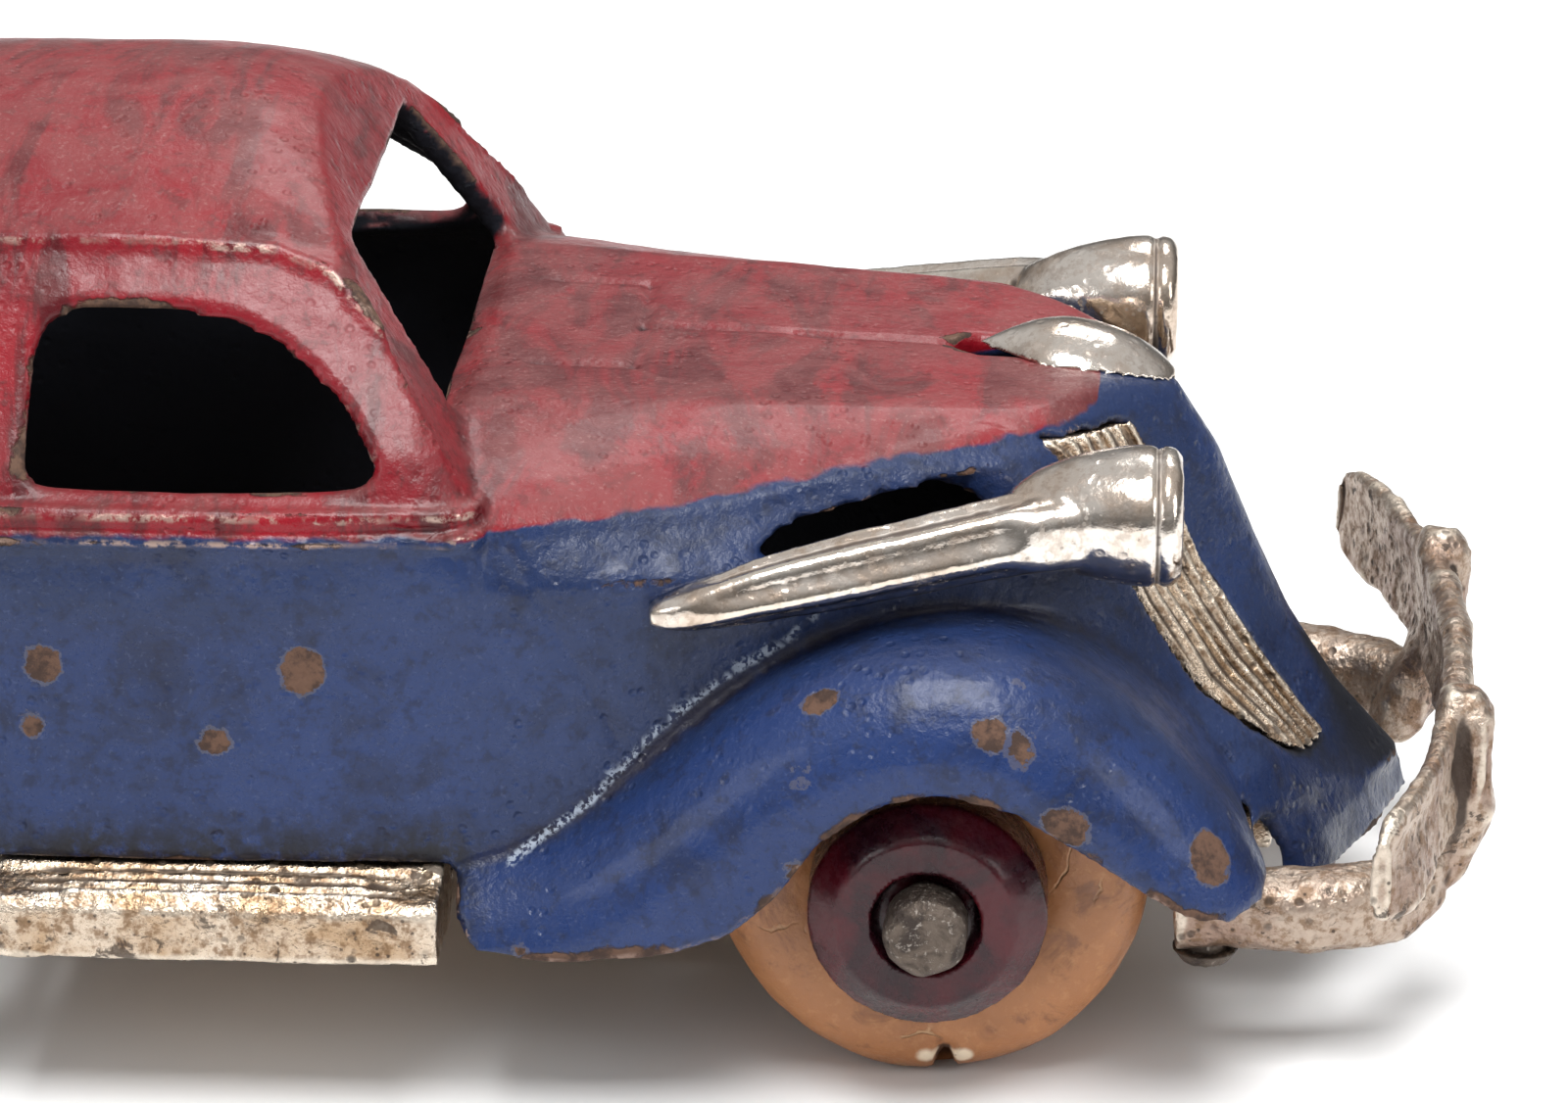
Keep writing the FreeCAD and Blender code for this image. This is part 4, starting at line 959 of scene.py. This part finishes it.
class TOY_OT_fastenings(bpy.types.Operator):
    """Finish the body screws and bumper rivets"""
    bl_idname = "toy.fastenings"
    bl_label = "Screws and rivets"

    def execute(self, context):
        names = [name for name in NODES if "screw" in name or "rivet" in name]
        for name in sorted(names):
            piece = copy_node(name, name + "_worn")
            smooth_casting(piece, 0.14, 1)
            roughen(piece, ((0.9, 0.03, 81),))
            thin_out(piece, 16000)
            mark_relief(piece, 6, 0.08)
            finish_piece(piece, material_for("steel"), "car_body", "steel", name)
        return {"FINISHED"}


# where the camera stands: lens in mm, place in metres, turns in degrees
CAMERA_LENS = 134.13
CAMERA_PLACE = (0.045975, -0.310136, 0.143478)
CAMERA_DOWN = 21.241
CAMERA_TURN = 3.1435


def light_room(world):
    """White to the eye, and to the car a room that is bright above and dim around."""
    w = Wiring(world.node_tree)
    background = world.node_tree.nodes["Background"]
    direction = w.add("ShaderNodeTexCoord").outputs["Generated"]
    height = w.add("ShaderNodeSeparateXYZ", {"Vector": direction}).outputs["Z"]
    glow = w.step(height, 0.05, 0.80, 0.16, 0.62)
    seen = w.add("ShaderNodeLightPath").outputs["Is Camera Ray"]
    background.inputs["Color"].default_value = (1.0, 1.0, 1.0, 1.0)
    w.feed(background.inputs["Strength"], w.lerp(seen, glow, 1.0))


class TOY_OT_stage(bpy.types.Operator):
    """Set the pale floor, the soft lights and the camera"""
    bl_idname = "toy.stage"
    bl_label = "Stage"

    def execute(self, context):
        scene = context.scene
        bpy.ops.object.select_all(action="DESELECT")
        bpy.ops.mesh.primitive_plane_add(size=studio().floor_size, location=(0.0, 0.0, 0.0))
        floor = context.object
        floor.name = "pale_floor"
        material, w, shader, place = new_material("pale_paper")
        grain = w.noise(place, 40.0, 3.0, 0.5)
        w.feed(shader.inputs["Base Color"],
               w.blend(grain, (0.90, 0.90, 0.90), (0.93, 0.93, 0.93)))
        shader.inputs["Roughness"].default_value = 0.85
        floor.data.materials.append(material)
        world = bpy.data.worlds.new("soft_white_room")
        scene.world = world
        world.use_nodes = True
        light_room(world)
        key = studio().key_power
        fill = studio().fill_power
        for name, place, aim, size, power in (
                ("overhead_softbox", (0.06, -0.26, 0.62), (0.03, 0.0, 0.0), 0.30, key),
                ("back_softbox", (0.12, 0.34, 0.50), (0.03, 0.0, 0.0), 0.22, fill),
                ("right_softbox", (0.62, -0.30, 0.30), (0.03, 0.0, 0.02), 0.26, fill),
                ("left_softbox", (-0.55, -0.55, 0.35), (0.0, 0.0, 0.02), 0.26, fill)):
            light = bpy.data.lights.new(name, "AREA")
            light.shape = "SQUARE"
            light.size = size
            light.energy = power
            lamp = bpy.data.objects.new(name, light)
            lamp.location = place
            lamp.rotation_euler = (Vector(place) - Vector(aim)).to_track_quat("Z", "Y").to_euler()
            scene.collection.objects.link(lamp)
        lens = bpy.data.cameras.new("studio_camera")
        lens.sensor_width = 36.0
        lens.lens = CAMERA_LENS
        lens.clip_start = 0.01
        camera = bpy.data.objects.new("studio_camera", lens)
        camera.location = CAMERA_PLACE
        camera.rotation_euler = (math.radians(90.0 - CAMERA_DOWN), 0.0,
                                 math.radians(CAMERA_TURN))
        scene.collection.objects.link(camera)
        scene.camera = camera
        scene.view_settings.view_transform = "Standard"
        return {"FINISHED"}


class TOY_PT_sidebar(bpy.types.Panel):
    """Lists the pieces of the toy car and the sizes they are made from"""
    bl_idname = "TOY_PT_sidebar"
    bl_label = "Toy car"
    bl_space_type = "VIEW_3D"
    bl_region_type = "UI"
    bl_category = "Toy car"

    def draw(self, context):
        for group in (context.scene.toy_casting, context.scene.toy_paint,
                      context.scene.toy_studio):
            box = self.layout.box()
            for key in group.__annotations__:
                box.prop(group, key)
        for operator in PIECES:
            self.layout.operator(operator.bl_idname)


GROUP_CLASSES = (CastingSizes, PaintColours, StudioSizes)
PIECES = (TOY_OT_body_casting, TOY_OT_chassis_casting, TOY_OT_bumpers, TOY_OT_plated_trim,
          TOY_OT_wheels, TOY_OT_fastenings, TOY_OT_stage)


def register():
    for item in GROUP_CLASSES + PIECES + (TOY_PT_sidebar,):
        bpy.utils.register_class(item)
    bpy.types.Scene.toy_casting = bpy.props.PointerProperty(type=CastingSizes)
    bpy.types.Scene.toy_paint = bpy.props.PointerProperty(type=PaintColours)
    bpy.types.Scene.toy_studio = bpy.props.PointerProperty(type=StudioSizes)


def unregister():
    del bpy.types.Scene.toy_studio
    del bpy.types.Scene.toy_paint
    del bpy.types.Scene.toy_casting
    for item in reversed(GROUP_CLASSES + PIECES + (TOY_PT_sidebar,)):
        bpy.utils.unregister_class(item)


def main():
    register()
    bpy.ops.toy.body_casting()
    bpy.ops.toy.chassis_casting()
    bpy.ops.toy.bumpers()
    bpy.ops.toy.plated_trim()
    bpy.ops.toy.wheels()
    bpy.ops.toy.fastenings()
    bpy.ops.toy.stage()


if __name__ == "__main__":
    main()
